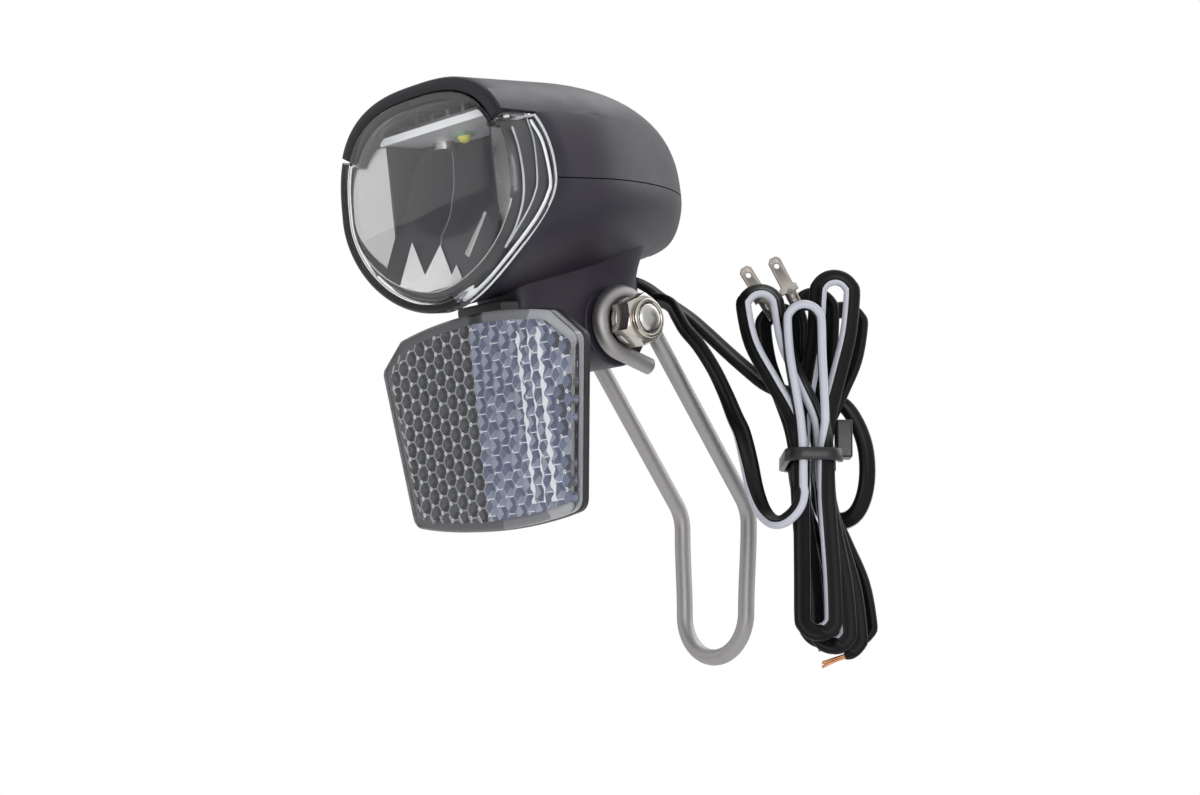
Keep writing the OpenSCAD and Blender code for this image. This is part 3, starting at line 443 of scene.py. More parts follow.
class Effects:
    """Node groups that the finishes share, each built once."""

    DETAIL_AND_BREADTH: dict[Effect, Pair] = {Effect.GRAIN: (2.0, 0.05), Effect.DRAWN: (6.0, 0.25)}
    CLOUD_DETAIL = 3.0
    SMUDGE_DETAIL = 4.0
    GLOSS_SPAN: Pair = (0.3, 0.7)
    TONE_SPAN: Pair = (0.32, 0.68)
    BUMP_HEIGHT = 0.0002

    def __init__(self) -> None:
        """Starts with no group built."""
        self.trees: dict[Effect, Tree] = {}

    def tree(self, effect: Effect) -> Tree:
        """Gives a group, building it at its first use."""
        if effect not in self.trees:
            self.trees[effect] = self._smudge() if effect is Effect.SMUDGE else self._surface(effect)
        return self.trees[effect]

    @staticmethod
    def _open(effect: Effect, takes: dict[str, str], gives: dict[str, str]) -> tuple:
        """New group with its sockets.

        Args:
            effect: Which effect it is.
            takes: Input names and their socket kinds.
            gives: Output names and their socket kinds.

        Returns:
            The tree, the sockets that it is given and its output node.
        """
        tree = bpy.data.node_groups.new(effect.value, "ShaderNodeTree")
        for way, sockets in (("INPUT", takes), ("OUTPUT", gives)):
            for name, kind in sockets.items():
                tree.interface.new_socket(name=name, in_out=way, socket_type=f"NodeSocket{kind}")
        return tree, tree.nodes.new("NodeGroupInput").outputs, tree.nodes.new("NodeGroupOutput")

    @staticmethod
    def _noise(tree: Tree, scale: Socket, factor: float,
               detail: float) -> Socket:
        """Noise on object coordinates whose scale is a share of a socket's."""
        times = add(tree, "Math", {0: scale, 1: factor}, operation="MULTIPLY")
        takes = {"Detail": detail, "Scale": times[0], "Vector": add(tree, "TexCoord")["Object"]}
        return add(tree, "TexNoise", takes)["Fac"]

    @staticmethod
    def _spread(tree: Tree, value: Socket, span: Pair, low: object = 0.0,
                high: object = 1.0) -> Socket:
        """Value stretched from the middle span of a noise to a low and a high."""
        takes = {"Value": value, "From Min": span[0], "From Max": span[1], "To Min": low, "To Max": high}
        return add(tree, "MapRange", takes)["Result"]

    def _surface(self, effect: Effect) -> Tree:
        """Moulded grain or drawn metal: colour and gloss from a broad noise, relief from a fine one."""
        detail, breadth = self.DETAIL_AND_BREADTH[effect]
        tree, given, out = self._open(
            effect,
            {"Shade": "Color", "Light": "Color", "Scale": "Float", "Depth": "Float", "Smooth": "Float",
             "Coarse": "Float"},
            {"Color": "Color", "Roughness": "Float", "Normal": "Vector"})
        fine = self._noise(tree, given["Scale"], 1.0, detail)
        wide = self._noise(tree, given["Scale"], breadth, self.CLOUD_DETAIL)
        bump = add(tree, "Bump", {"Distance": self.BUMP_HEIGHT, "Strength": given["Depth"], "Height": fine})
        share = self._spread(tree, wide, self.TONE_SPAN)
        blend = add(tree, "Mix", {"Factor": share, 6: given["Shade"], 7: given["Light"]}, data_type="RGBA")
        gloss = self._spread(tree, wide, self.GLOSS_SPAN, given["Smooth"], given["Coarse"])
        feed(tree, out, {"Color": blend[2], "Roughness": gloss, "Normal": bump["Normal"]})
        return tree

    def _smudge(self) -> Tree:
        """Uneven gloss of a handled clear piece."""
        tree, given, out = self._open(
            Effect.SMUDGE, {"Scale": "Float", "Smooth": "Float", "Coarse": "Float"}, {"Roughness": "Float"})
        cloud = self._noise(tree, given["Scale"], 1.0, self.SMUDGE_DETAIL)
        gloss = self._spread(tree, cloud, self.GLOSS_SPAN, given["Smooth"], given["Coarse"])
        feed(tree, out, {"Roughness": gloss})
        return tree


EFFECTS = Effects()


def rgba(colour: Colour) -> tuple[float, float, float, float]:
    """Colour with full alpha."""
    return (*colour, 1.0)


def blank(name: str) -> tuple[bpy.types.Material, bpy.types.Node]:
    """New material with its shader node."""
    material = bpy.data.materials.new(name)
    material.use_nodes = True
    return material, material.node_tree.nodes["Principled BSDF"]


def placed(tree: Tree, effect: Effect, **values: object) -> bpy.types.bpy_prop_collection:
    """Places an effect in a material's tree, sets its inputs and gives its outputs."""
    takes = {name.capitalize(): value for name, value in values.items()}
    return add(tree, "Group", takes, node_tree=EFFECTS.tree(effect))


@dataclass(frozen=True)
class Surface:
    """Opaque finish: moulded plastic, rubber, plated or drawn metal.

    The grain is the scale and depth of the relief, the gloss the least and the greatest roughness.
    """

    name: str
    shade: Colour
    light: Colour
    grain: Pair = (2600.0, 0.25)
    gloss: Pair = (0.4, 0.5)
    effect: Effect = Effect.GRAIN
    metallic: float = 0.0
    specular: float = 0.5

    def material(self) -> bpy.types.Material:
        """Builds the material."""
        material, shader = blank(self.name)
        look = placed(material.node_tree, self.effect, shade=rgba(self.shade), light=rgba(self.light),
                      scale=self.grain[0], depth=self.grain[1], smooth=self.gloss[0], coarse=self.gloss[1])
        feed(material.node_tree, shader, {
            "Metallic": self.metallic, "Specular IOR Level": self.specular, "Base Color": look["Color"],
            "Roughness": look["Roughness"], "Normal": look["Normal"]})
        return material


@dataclass(frozen=True)
class Clear:
    """Clear moulded plastic that lets the lamps' light through."""

    name: str
    tint: Colour
    gloss: Pair = (0.0, 0.03)
    scale: float = 60.0
    ior: float = 1.49

    def material(self) -> bpy.types.Material:
        """Builds the material."""
        material, shader = blank(self.name)
        tree = material.node_tree
        look = placed(tree, Effect.SMUDGE, scale=self.scale, smooth=self.gloss[0], coarse=self.gloss[1])
        feed(tree, shader, {"Base Color": rgba(self.tint), "Transmission Weight": 1.0, "IOR": self.ior,
                            "Roughness": look["Roughness"]})
        through = add(tree, "BsdfTransparent", {"Color": rgba(self.tint)})
        shadow = add(tree, "LightPath")["Is Shadow Ray"]
        either = add(tree, "MixShader", {0: shadow, 1: shader.outputs[0], 2: through[0]})
        feed(tree, tree.nodes["Material Output"], {"Surface": either[0]})
        return material


MOULDED = partial(Surface, grain=(6000.0, 0.1), gloss=(0.42, 0.48))
METAL = partial(Surface, effect=Effect.DRAWN, metallic=1.0)
# Mirror finishes; those without metallic are paint that stands in for the bowl's dark reflection.
SILVERED = partial(Surface, grain=(60.0, 0.0), effect=Effect.DRAWN)
CELL = partial(Surface, grain=(260.0, 0.05), gloss=(0.15, 0.25))
RIM = partial(Surface, grain=(90.0, 0.02), gloss=(0.25, 0.35))


class Palette:
    """Finishes of the headlight, each built once."""

    FINISHES: tuple[Surface | Clear, ...] = (
        MOULDED("housing_black", (0.022, 0.0182, 0.0295), (0.027, 0.0226, 0.0355), specular=0.38),
        MOULDED("hood_black", (0.012, 0.0105, 0.015), (0.016, 0.014, 0.02), specular=0.25),
        Surface("plate_black", (0.014, 0.014, 0.015), (0.02, 0.02, 0.022), (2600.0, 0.2), (0.3, 0.42)),
        Surface("collar_black", (0.011, 0.011, 0.013), (0.017, 0.017, 0.019), (300.0, 0.0), (0.22, 0.3)),
        METAL("bracket_steel", (0.37, 0.358, 0.36), (0.4, 0.388, 0.39), (400.0, 0.0), (0.5, 0.56)),
        METAL("nut_nickel", (0.46, 0.43, 0.38), (0.62, 0.59, 0.54), (900.0, 0.03), (0.14, 0.3)),
        METAL("bolt_zinc", (0.5, 0.49, 0.47), (0.66, 0.65, 0.63), (900.0, 0.03), (0.2, 0.34)),
        SILVERED("mirror_coat", (0.47, 0.455, 0.46), (0.54, 0.525, 0.53), gloss=(0.2, 0.3), metallic=1.0),
        Surface("board_white", (0.68, 0.685, 0.71), (0.78, 0.785, 0.81), (700.0, 0.0), (0.3, 0.4)),
        Surface("driver_green", (0.02, 0.09, 0.035), (0.03, 0.13, 0.05), (500.0, 0.2), (0.25, 0.35)),
        Surface("phosphor", (0.55, 0.55, 0.06), (0.75, 0.7, 0.12), (3000.0, 0.3), (0.3, 0.45)),
        Surface("emitter_base", (0.16, 0.3, 0.17), (0.3, 0.42, 0.28), (1200.0, 0.2), (0.25, 0.4)),
        METAL("sink_aluminium", (0.1, 0.1, 0.105), (0.15, 0.15, 0.155), (800.0, 0.2), (0.35, 0.5)),
        METAL("screw_zinc", (0.42, 0.42, 0.42), (0.56, 0.56, 0.55), (900.0, 0.2), (0.25, 0.4)),
        Surface("sleeve_dark", (0.012, 0.014, 0.03), (0.02, 0.022, 0.045), (600.0, 0.25), (0.2, 0.3)),
        Surface("grommet_rubber", (0.012, 0.012, 0.012), (0.02, 0.02, 0.02), (1800.0, 0.25), (0.5, 0.65)),
        Surface("lead_black", (0.0055, 0.0055, 0.0065), (0.009, 0.009, 0.01), (900.0, 0.05), (0.36, 0.46),
                specular=0.16),
        Surface("lead_white", (0.62, 0.635, 0.73), (0.72, 0.735, 0.83), (900.0, 0.06), (0.34, 0.44)),
        METAL("copper_strand", (0.55, 0.25, 0.12), (0.72, 0.38, 0.2), (1500.0, 0.1), (0.25, 0.4)),
        METAL("terminal_tin", (0.13, 0.118, 0.108), (0.25, 0.23, 0.212), (260.0, 0.03), (0.26, 0.4)),
        Surface("tie_nylon", (0.01, 0.01, 0.011), (0.018, 0.018, 0.02), (900.0, 0.25), (0.28, 0.4)),
        # The next two finishes are painted highlights: the light caught along the lens's rear edge and bright
        # streaks inside its wings.
        Surface("lens_edge_glint", (0.62, 0.63, 0.65), (0.9, 0.91, 0.92), (160.0, 0.1), (0.15, 0.35)),
        Surface("wing_glint", (0.2, 0.205, 0.22), (0.62, 0.63, 0.66), (700.0, 0.0), (0.2, 0.3)),
        # The next two finishes are not metal but painted dark reflection of the mirror's bowl, a little lighter
        # past the facet line.
        SILVERED("mirror_deep", (0.018, 0.018, 0.022), (0.025, 0.025, 0.03), gloss=(0.34, 0.4),
                 specular=0.15),
        SILVERED("mirror_side", (0.024, 0.024, 0.028), (0.038, 0.038, 0.044), gloss=(0.3, 0.36),
                 specular=0.2),
        # The cell finishes are painted reflection of the prism field: dark and pale bluish facets, light borders
        # and white glints.
        Surface("cell_rim", (0.24, 0.245, 0.26), (0.33, 0.335, 0.35), (500.0, 0.05), (0.2, 0.3)),
        CELL("cell_dark", (0.03, 0.031, 0.036), (0.05, 0.051, 0.057)),
        CELL("cell_dim", (0.055, 0.057, 0.064), (0.085, 0.087, 0.096)),
        CELL("cell_blue", (0.085, 0.102, 0.178), (0.145, 0.17, 0.26)),
        CELL("cell_pale", (0.25, 0.275, 0.36), (0.36, 0.385, 0.47)),
        CELL("cell_glint", (0.78, 0.8, 0.84), (0.9, 0.91, 0.93), grain=(400.0, 0.05)),
        # Painted highlight: light grey for the reflector's cut edges and a glint on the mirror's bowl.
        Surface("painted_glint_grey", (0.36, 0.36, 0.36), (0.5, 0.495, 0.49), (300.0, 0.02), (0.25, 0.35)),
        # Painted light behind the reflector's clear rim: grey, then lighter towards the nut's side.
        RIM("rim_grey", (0.06, 0.061, 0.066), (0.1, 0.101, 0.107)),
        RIM("rim_mid", (0.13, 0.132, 0.142), (0.22, 0.222, 0.235)),
        RIM("rim_pale", (0.34, 0.342, 0.362), (0.46, 0.463, 0.48)),
        Clear("lens_clear", (0.975, 0.98, 0.985), ior=1.28),
        # The next finish is a dark tint that paints shade on the lens's rim.
        Clear("lens_rim_shade", (0.02, 0.02, 0.022), ior=1.28),
        Clear("prism_clear", (0.96, 0.97, 0.985)),
    )

    def __init__(self) -> None:
        """Builds every material by its name."""
        self.by_name = {finish.name: finish.material() for finish in self.FINISHES}

    def dress(self, piece: Piece, *names: str) -> Piece:
        """Gives a piece its materials, in slot order."""
        slots = piece.data.materials
        while len(slots) > len(names):
            slots.pop()
        for i, name in enumerate(names):
            if i < len(slots):
                slots[i] = self.by_name[name]
            else:
                slots.append(self.by_name[name])
        return piece


PALETTE = Palette()


def fit(piece: Piece, body: Body, slot: str, *nodes: str) -> Piece:
    """Sets a finished piece on its body.

    Args:
        piece: The piece, at the origin.
        body: Body that it moves with.
        slot: Material slot of the record that the piece stands for; not used.
        nodes: Nodes of the frame that it stands for.

    Returns:
        The same piece.
    """
    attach(piece, body.value)
    if nodes:
        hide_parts(*nodes)
    LOG.info("%s on %s: %d faces", piece.name, body.value, len(piece.data.polygons))
    return piece


@dataclass
class WireBracket:
    """Bent stainless wire with an eye at each end and a loop at the bottom."""

    wire_d: float = 3.6
    loop_r: float = 9.6
    bend_z: float = 22.6
    bend_r: float = 9.0
    eye_x: float = 10.4
    eye_r: float = 6.4
    eye_end: float = 257.0
    tail_len: float = 9.5

    def centre_line(self) -> np.ndarray:
        """Points of the wire from one cut end to the other."""
        fwd, up = -PIVOT[1], PIVOT[2]
        rise = up - self.bend_z
        leg = math.atan2(rise, fwd) + math.asin(self.eye_r / math.hypot(fwd, rise))
        touch = math.pi / 2 - leg
        end = math.radians(self.eye_end)
        eye = np.array([-fwd, up])

        def on_eye(a: float) -> np.ndarray:
            """Point of the eye at an angle, in side view."""
            return eye + self.eye_r * np.array([math.cos(a), math.sin(a)])

        side: list[np.ndarray] = []
        way = np.array([-math.sin(end), math.cos(end)])
        side += [on_eye(end) + way * self.tail_len * d for d in (1.0, 0.66, 0.33)]
        side += [on_eye(mix(end, touch, i / 30)) for i in range(31)]
        cut = self.bend_r * math.tan(touch / 2)
        bend = [touch * (1 - i / 10) for i in range(11)]
        turn = [np.array([-self.bend_r * (1 - math.cos(a)), self.bend_z - cut + self.bend_r * math.sin(a)])
                for a in bend]
        side += [mix(on_eye(touch), turn[0], t) for t in (0.2, 0.4, 0.6, 0.8)]
        near = [(self.eye_x, p[0], p[1]) for p in side + turn]
        near += [(mix(self.loop_r, self.eye_x, ease(t)), 0.0, (self.bend_z - cut) * t)
                 for t in (0.85, 0.7, 0.55, 0.4, 0.25, 0.12)]
        near += [(self.loop_r * math.cos(a), 0.0, -self.loop_r * math.sin(a))
                 for a in np.radians(np.arange(0, 91, 7.5))]
        return np.array(near + [(-x, y, z) for x, y, z in near[-2::-1]])

    def build(self) -> None:
        """Draws the wire along its line."""
        line = self.centre_line()
        profile = circle(self.wire_d / 2, 24)
        wire = Bench.sweep("bracket_wire", line, carried_sides(line, (1, 0, 0)), profile, 0.25)
        fit(PALETTE.dress(wire, "bracket_steel"), Body.BRACKET, "steel_wire", "wire_bracket")


@dataclass
class PivotHardware:
    """Bolt, nut and washers that clamp the head between the eyes."""

    bolt_r: float = 3.0
    hex_af: float = 10.0
    nut_h: float = 5.0
    head_h: float = 4.0
    proud: float = 0.4
    washer_r: float = 6.0
    washer_t: float = 1.6
    washer_seat: float = 12.22
    collar_h: float = 1.1
    collar_r: float = 4.25
    nut_sunk: float = 0.9
    washer_show: float = 5.2
    chamfer: float = 0.75
    thread_len: float = 1.6
    thread_pitch: float = 0.75
    thread_depth: float = 0.3

    def hexagon(self, name: str, start: float, height: float) -> Piece:
        """Hexagon along X whose corners are turned off at the outer end.

        Args:
            name: Name of the piece.
            start: Place of its inner face.
            height: Height, negative towards -X.

        Returns:
            The hexagon, in the pivot's axes.
        """
        corner = self.hex_af / 2 / math.cos(math.pi / 6)
        block = Bench.rod(name, (start, 0, 0), (start + height, 0, 0), corner, 6)
        way, tall = math.copysign(1.0, height), abs(height)
        low, clear_r = tall - self.chamfer, corner + 0.4
        stations = ((-0.2, 0.0), (-0.2, clear_r), (low, clear_r), (low, corner + 0.06),
                    (tall, self.hex_af / 2 - 0.15), (tall, 0.0))
        turned = Bench.turned("turning", [(start + way * x, r) for x, r in stations])
        return Bench.bevel(Bench.cut(block, turned, "INTERSECT"), 0.12, 2, 25.0)

    def ring(self, name: str, start: float, end: float, outer: float, inner: float, soft: float) -> Piece:
        """Round ring along X with softened edges.

        Args:
            name: Name of the piece.
            start: Place of one face.
            end: Place of the other face.
            outer: Outer radius.
            inner: Radius of the hole.
            soft: Width of the softened edges.

        Returns:
            The ring, in the pivot's axes.
        """
        body = Bench.rod(name, (start, 0, 0), (end, 0, 0), outer, 64)
        Bench.cut(body, Bench.rod("bore", (start - 1, 0, 0), (end + 1, 0, 0), inner, 64))
        return Bench.bevel(body, soft, 3)

    def build(self) -> None:
        """Makes the hardware and sets it on the bracket."""
        r = self.bolt_r
        nut_seat = self.washer_seat + self.washer_t
        nut_end = nut_seat + self.nut_h
        sunk = self.nut_sunk * self.washer_t
        nut = self.hexagon("nut_hexagon", nut_seat - sunk, self.nut_h - self.collar_h + sunk)
        Bench.cut(nut, Bench.rod("bore", (nut_seat - 3, 0, 0), (nut_seat + 9, 0, 0), r + 0.02, 48))
        foot = nut_end - self.collar_h - 0.05
        collar = self.ring("nut_collar", foot, nut_end, self.collar_r, r + 0.25, 0.4)
        nut = Bench.settle(Bench.join("nut", [nut, collar]), PIVOT_AXES)
        fit(PALETTE.dress(nut, "nut_nickel"), Body.BRACKET, "zinc_hardware", "pivot_nut")
        bolt = self.hexagon("bolt_head", -nut_seat, -self.head_h)
        end = nut_end + self.proud
        stations = [(-nut_seat - 0.1, r)]
        x, third = nut_end - self.thread_len, self.thread_pitch / 3
        while x < end - 2 * third:
            stations += [(x, r), (x + third, r - self.thread_depth), (x + 2 * third, r)]
            x += self.thread_pitch
        stations += [(end - 0.45, r - 0.05), (end - 0.1, r - 0.5), (end, r - 0.95), (end - 0.05, 0.9),
                     (end - 0.05, 0.0)]
        shank = Bench.turned("bolt_shank", stations, fill=True)
        bolt = Bench.settle(Bench.join("bolt", [bolt, shank]), PIVOT_AXES)
        fit(PALETTE.dress(bolt, "bolt_zinc"), Body.BRACKET, "zinc_hardware", "pivot_bolt")
        washers = [self.ring("washer", side * self.washer_seat, side * nut_seat, outer, r + 0.2, 0.18)
                   for side, outer in ((1, self.washer_show), (-1, self.washer_r))]
        pair = Bench.settle(Bench.join("washers", washers), PIVOT_AXES)
        fit(PALETTE.dress(pair, "bolt_zinc"), Body.BRACKET, "zinc_hardware", "pivot_washers")


@dataclass
class HeadForm:
    """Outer form of the lamp head: superellipse sections that close towards the back."""

    width: float = 57.0
    parting: float = 27.3
    roof_h: float = 24.0
    belly_h: float = 23.0
    belly_rise: float = 0.18
    hood_y: float = -44.3
    tail: float = 26.5
    wing_depth: float = 11.4
    wing_top: float = 41.0
    wing_mid: float = 28.5
    wing_foot: float = 7.0
    hood_open: float = 0.885
    seat: float = 0.2
    lens_lap: float = 1.4
    roof_power: float = 2.8
    belly_power: float = 1.8
    plan_close: Pair = (-20.0, 1.55)
    roof_close: Pair = (-22.0, 2.15)
    belly_close: Pair = (4.0, 4.6)

    @staticmethod
    def closing(y: float, start: float, end: float, power: float) -> float:
        """Share of the full size that is left at y."""
        if y <= start:
            return 1.0
        return max(0.0, 1.0 - ((y - start) / (end - start)) ** power) ** (1.0 / power)

    def point(self, t: float, y: float, inset: float = 0.0) -> Triple:
        """Point of the surface.

        Args:
            t: Angle round the section, in degrees from the nut's side.
            y: Place along the head.
            inset: Distance that the wall is drawn in.

        Returns:
            The point, in the head's axes.
        """
        end = self.tail - inset
        half = (self.width / 2 - inset) * self.closing(y, self.plan_close[0], end, self.plan_close[1])
        if t <= 180:
            power = self.roof_power
            reach = (self.roof_h - inset) * self.closing(y, self.roof_close[0], end, self.roof_close[1])
        else:
            low = self.belly_h - self.belly_rise * max(0.0, y - self.hood_y) - inset
            power = self.belly_power
            reach = low * self.closing(y, self.belly_close[0], end, self.belly_close[1])
        c, s = math.cos(math.radians(t)), math.sin(math.radians(t))
        return (half * math.copysign(abs(c) ** (2 / power), c), y,
                self.parting + reach * math.copysign(abs(s) ** (2 / power), s))

    def shrunk(self, p: Triple, k: float) -> Triple:
        """Point drawn towards the section's middle."""
        return (p[0] * k, p[1], self.parting + (p[2] - self.parting) * k)

    def wing_y(self, z: float) -> float:
        """Rear edge of the lens's wings at a height."""
        if z < self.wing_mid:
            share = min(1.0, max(0.0, (z - self.wing_foot) / (self.wing_mid - self.wing_foot)))
            return mix(self.hood_y + 4, self.hood_y + self.wing_depth, ease(share))
        share = (z - self.wing_mid) / (self.wing_top - self.wing_mid)
        return self.hood_y + self.wing_depth - 2.6 * share**2

    def edge_y(self, t: float) -> float:
        """Rear edge of the wings at an angle."""
        return self.wing_y(self.point(t, self.hood_y)[2])

    def step(self) -> float:
        """Angle at which the wings end and the hood starts."""
        share = (self.wing_top - self.parting) / self.roof_h
        return math.degrees(math.asin(share ** (self.roof_power / 2)))

    @staticmethod
    def above(t: float, edge: float) -> bool:
        """True where an angle lies in the hood."""
        return edge < t < 180 - edge

    @staticmethod
    def upper_angles(edge: float) -> list[float]:
        """Angles over the roof, close together where the hood steps down to the wings."""
        gap = 0.7
        sides = [(edge - gap) * i / 10 for i in range(11)]
        top = [mix(edge + gap, 180 - edge - gap, i / 48) for i in range(49)]
        return sides + top + [180 - a for a in reversed(sides)]

    @staticmethod
    def lower_angles() -> list[float]:
        """Angles round the belly."""
        return [180 + 180 * i / 56 for i in range(57)]

    def lens_ring(self) -> tuple[float, list[float]]:
        """Angle at which the lens meets the hood, and the angles round it, of which the last closes them."""
        edge = self.step() - self.lens_lap
        angles = self.upper_angles(edge) + self.lower_angles()[1:-1]
        return edge, angles + angles[:1]


FORM = HeadForm()


@dataclass
class Housing:
    """Roof with its hood, belly with its neck, and the collar behind the lens."""

    wall: float = 2.0
    seam: float = 0.12
    boss_r: float = 9.0
    boss_x: float = 8.3
    bore_r: float = 3.08
    screw: Pair = (0.0, 16.0)
    screw_seat: float = 18.5
    screw_hole_r: float = 2.4
    hood_front: float = 0.35
    neck_levels: tuple[float, ...] = (-1, 0, 1, 2.5, 4, 6, 8, 10, 12, 14, 16, 20)
    neck_flare: Triple = (2.5, 13.5, 4.6)
    neck_back: Pair = (6.9, 0.8)
    neck_front: Pair = (-27.4, -3.0)
    neck_square: float = 0.3
    collar_rows: tuple[tuple[float, float, float | None], ...] = (
        (1.0, 1.0, None), (1.0, 1.0, 3.2), (0.995, 0.985, 2.5), (0.985, 0.96, 2.1), (0.978, 0.925, 2.0),
        (0.973, 0.915, 2.3), (0.973, 0.915, 8.0), (0.98, 0.95, 10.0), (1.0, 1.0, None))

    def column(self, t: float, up: bool) -> list[Triple]:
        """Points from the inner back end over the lip to the outer back end at one angle."""
        hooded = up and FORM.above(t, FORM.step())
        front = FORM.hood_y if hooded else FORM.edge_y(t) + FORM.seat
        inner_tail = FORM.tail - self.wall
        found = [FORM.point(t, mix(front + 3.2, inner_tail, math.sin(math.radians(90 * j / 14))), self.wall)
                 for j in range(14, 0, -1)]
        if hooded:
            k = FORM.hood_open
            lip = ((k, 2.8), (k, 0.5), (k + 0.01, 0.14), (k + 0.045, 0.0), (0.965, 0.0), (0.988, 0.16),
                   (1.0, 0.6))
            found += [FORM.shrunk(FORM.point(t, FORM.hood_y + back), share) for share, back in lip]
        else:
            w = self.wall
            lip = ((w, 1.6), (w, 0.35), (w - 0.12, 0.08), (w - 0.5, 0.0), (0.4, 0.0), (0.12, 0.08),
                   (0.0, 0.36))
            found += [FORM.point(t, front + back, inset) for inset, back in lip]
        found += [FORM.point(t, mix(front + 0.6, FORM.tail, math.sin(math.radians(90 * j / 30))))
                  for j in range(1, 31)]
        edge = FORM.parting + (self.seam if up else -self.seam)
        keep = max if up else min
        return [(x, y, keep(z, edge)) for x, y, z in found]

    def shell(self, name: str, angles: Sequence[float], up: bool) -> Piece:
        """One half of the housing, closed at the parting plane."""
        columns = [self.column(t, up) for t in angles]
        return Bench.sew(Bench.loft(name, list(zip(*columns))), fill=True, angle=38.0)

    def neck(self) -> Piece:
        """Neck that grows out of the belly, with the pivot boss and the reflector arm."""
        start, height, flare = self.neck_flare
        rows = []
        for z in self.neck_levels:
            t = min(1.0, max(0.0, (z - start) / height))
            half = self.boss_x - 0.15 + flare * t**2.8
            back, front = (at + more * t**2 for at, more in (self.neck_back, self.neck_front))
            mid, deep = (back + front) / 2, (back - front) / 2
            rows.append([(half * math.copysign(abs(c) ** self.neck_square, c),
                          mid + deep * math.copysign(abs(s) ** self.neck_square, s), z)
                         for c, s in around(97)])
        flank = Bench.sew(Bench.loft("neck_flank", rows), fill=True, angle=50.0)
        Bench.bevel(flank, 0.5, 3, 60.0)
        boss = Bench.rod("boss", (-self.boss_x, -BODY_BACK, 0), (self.boss_x, -BODY_BACK, 0), self.boss_r, 72)
        Bench.bevel(boss, 0.6, 3)
        for part in (flank, boss):
            Bench.cut(part, Bench.rod("bore", (-20, -BODY_BACK, 0), (20, -BODY_BACK, 0), self.bore_r, 48))
        return Bench.shade(Bench.join("neck", [flank, boss]), 40.0)

    def collar(self) -> Piece:
        """Dark liner behind the lens's rim and wings, which carries the mirror."""
        edge, angles = FORM.lens_ring()
        rows = []
        for k, low, back in self.collar_rows:
            row = []
            for t in angles:
                hooded = FORM.above(t, edge)
                x, _, z = FORM.shrunk(FORM.point(t, FORM.hood_y, self.wall + 0.35), 0.92 * k if hooded else k)
                if t > 180:
                    z = FORM.parting + (z - FORM.parting) * low
                rear = FORM.hood_y + 4.6 if hooded else FORM.edge_y(t) - 0.1
                y = rear if back is None else FORM.hood_y + back
                y = max(y, FORM.hood_y + 3.3) if hooded else min(y, max(rear, FORM.hood_y + 4.2))
                row.append((x, y, z))
            rows.append(row)
        return Bench.sew(Bench.loft("lens_collar", rows), angle=45.0)

    def build(self) -> None:
        """Makes the housing's pieces and sets them on the head."""
        roof = self.shell("roof_shell", FORM.upper_angles(FORM.step()), True)
        PALETTE.dress(roof, "housing_black", "hood_black")
        for face in roof.data.polygons:
            face.material_index = int(face.center.y < (FORM.hood_y + self.hood_front) * MM)
        fit(Bench.settle(roof, HEAD_AXES), Body.HEAD, "black_plastic", "upper_shell")
        belly = self.shell("belly_shell", FORM.lower_angles(), False)
        x, y = self.screw
        recess = Bench.rod("recess", (x, y, -20), (x, y, self.screw_seat), self.screw_hole_r, 32)
        belly = Bench.settle(Bench.shade(Bench.cut(belly, recess), 38.0), HEAD_AXES)
        fit(PALETTE.dress(belly, "housing_black"), Body.HEAD, "black_plastic", "lower_shell")
        for piece, finish in ((self.neck(), "housing_black"), (self.collar(), "collar_black")):
            fit(PALETTE.dress(Bench.settle(piece, HEAD_AXES), finish), Body.HEAD, "black_plastic")


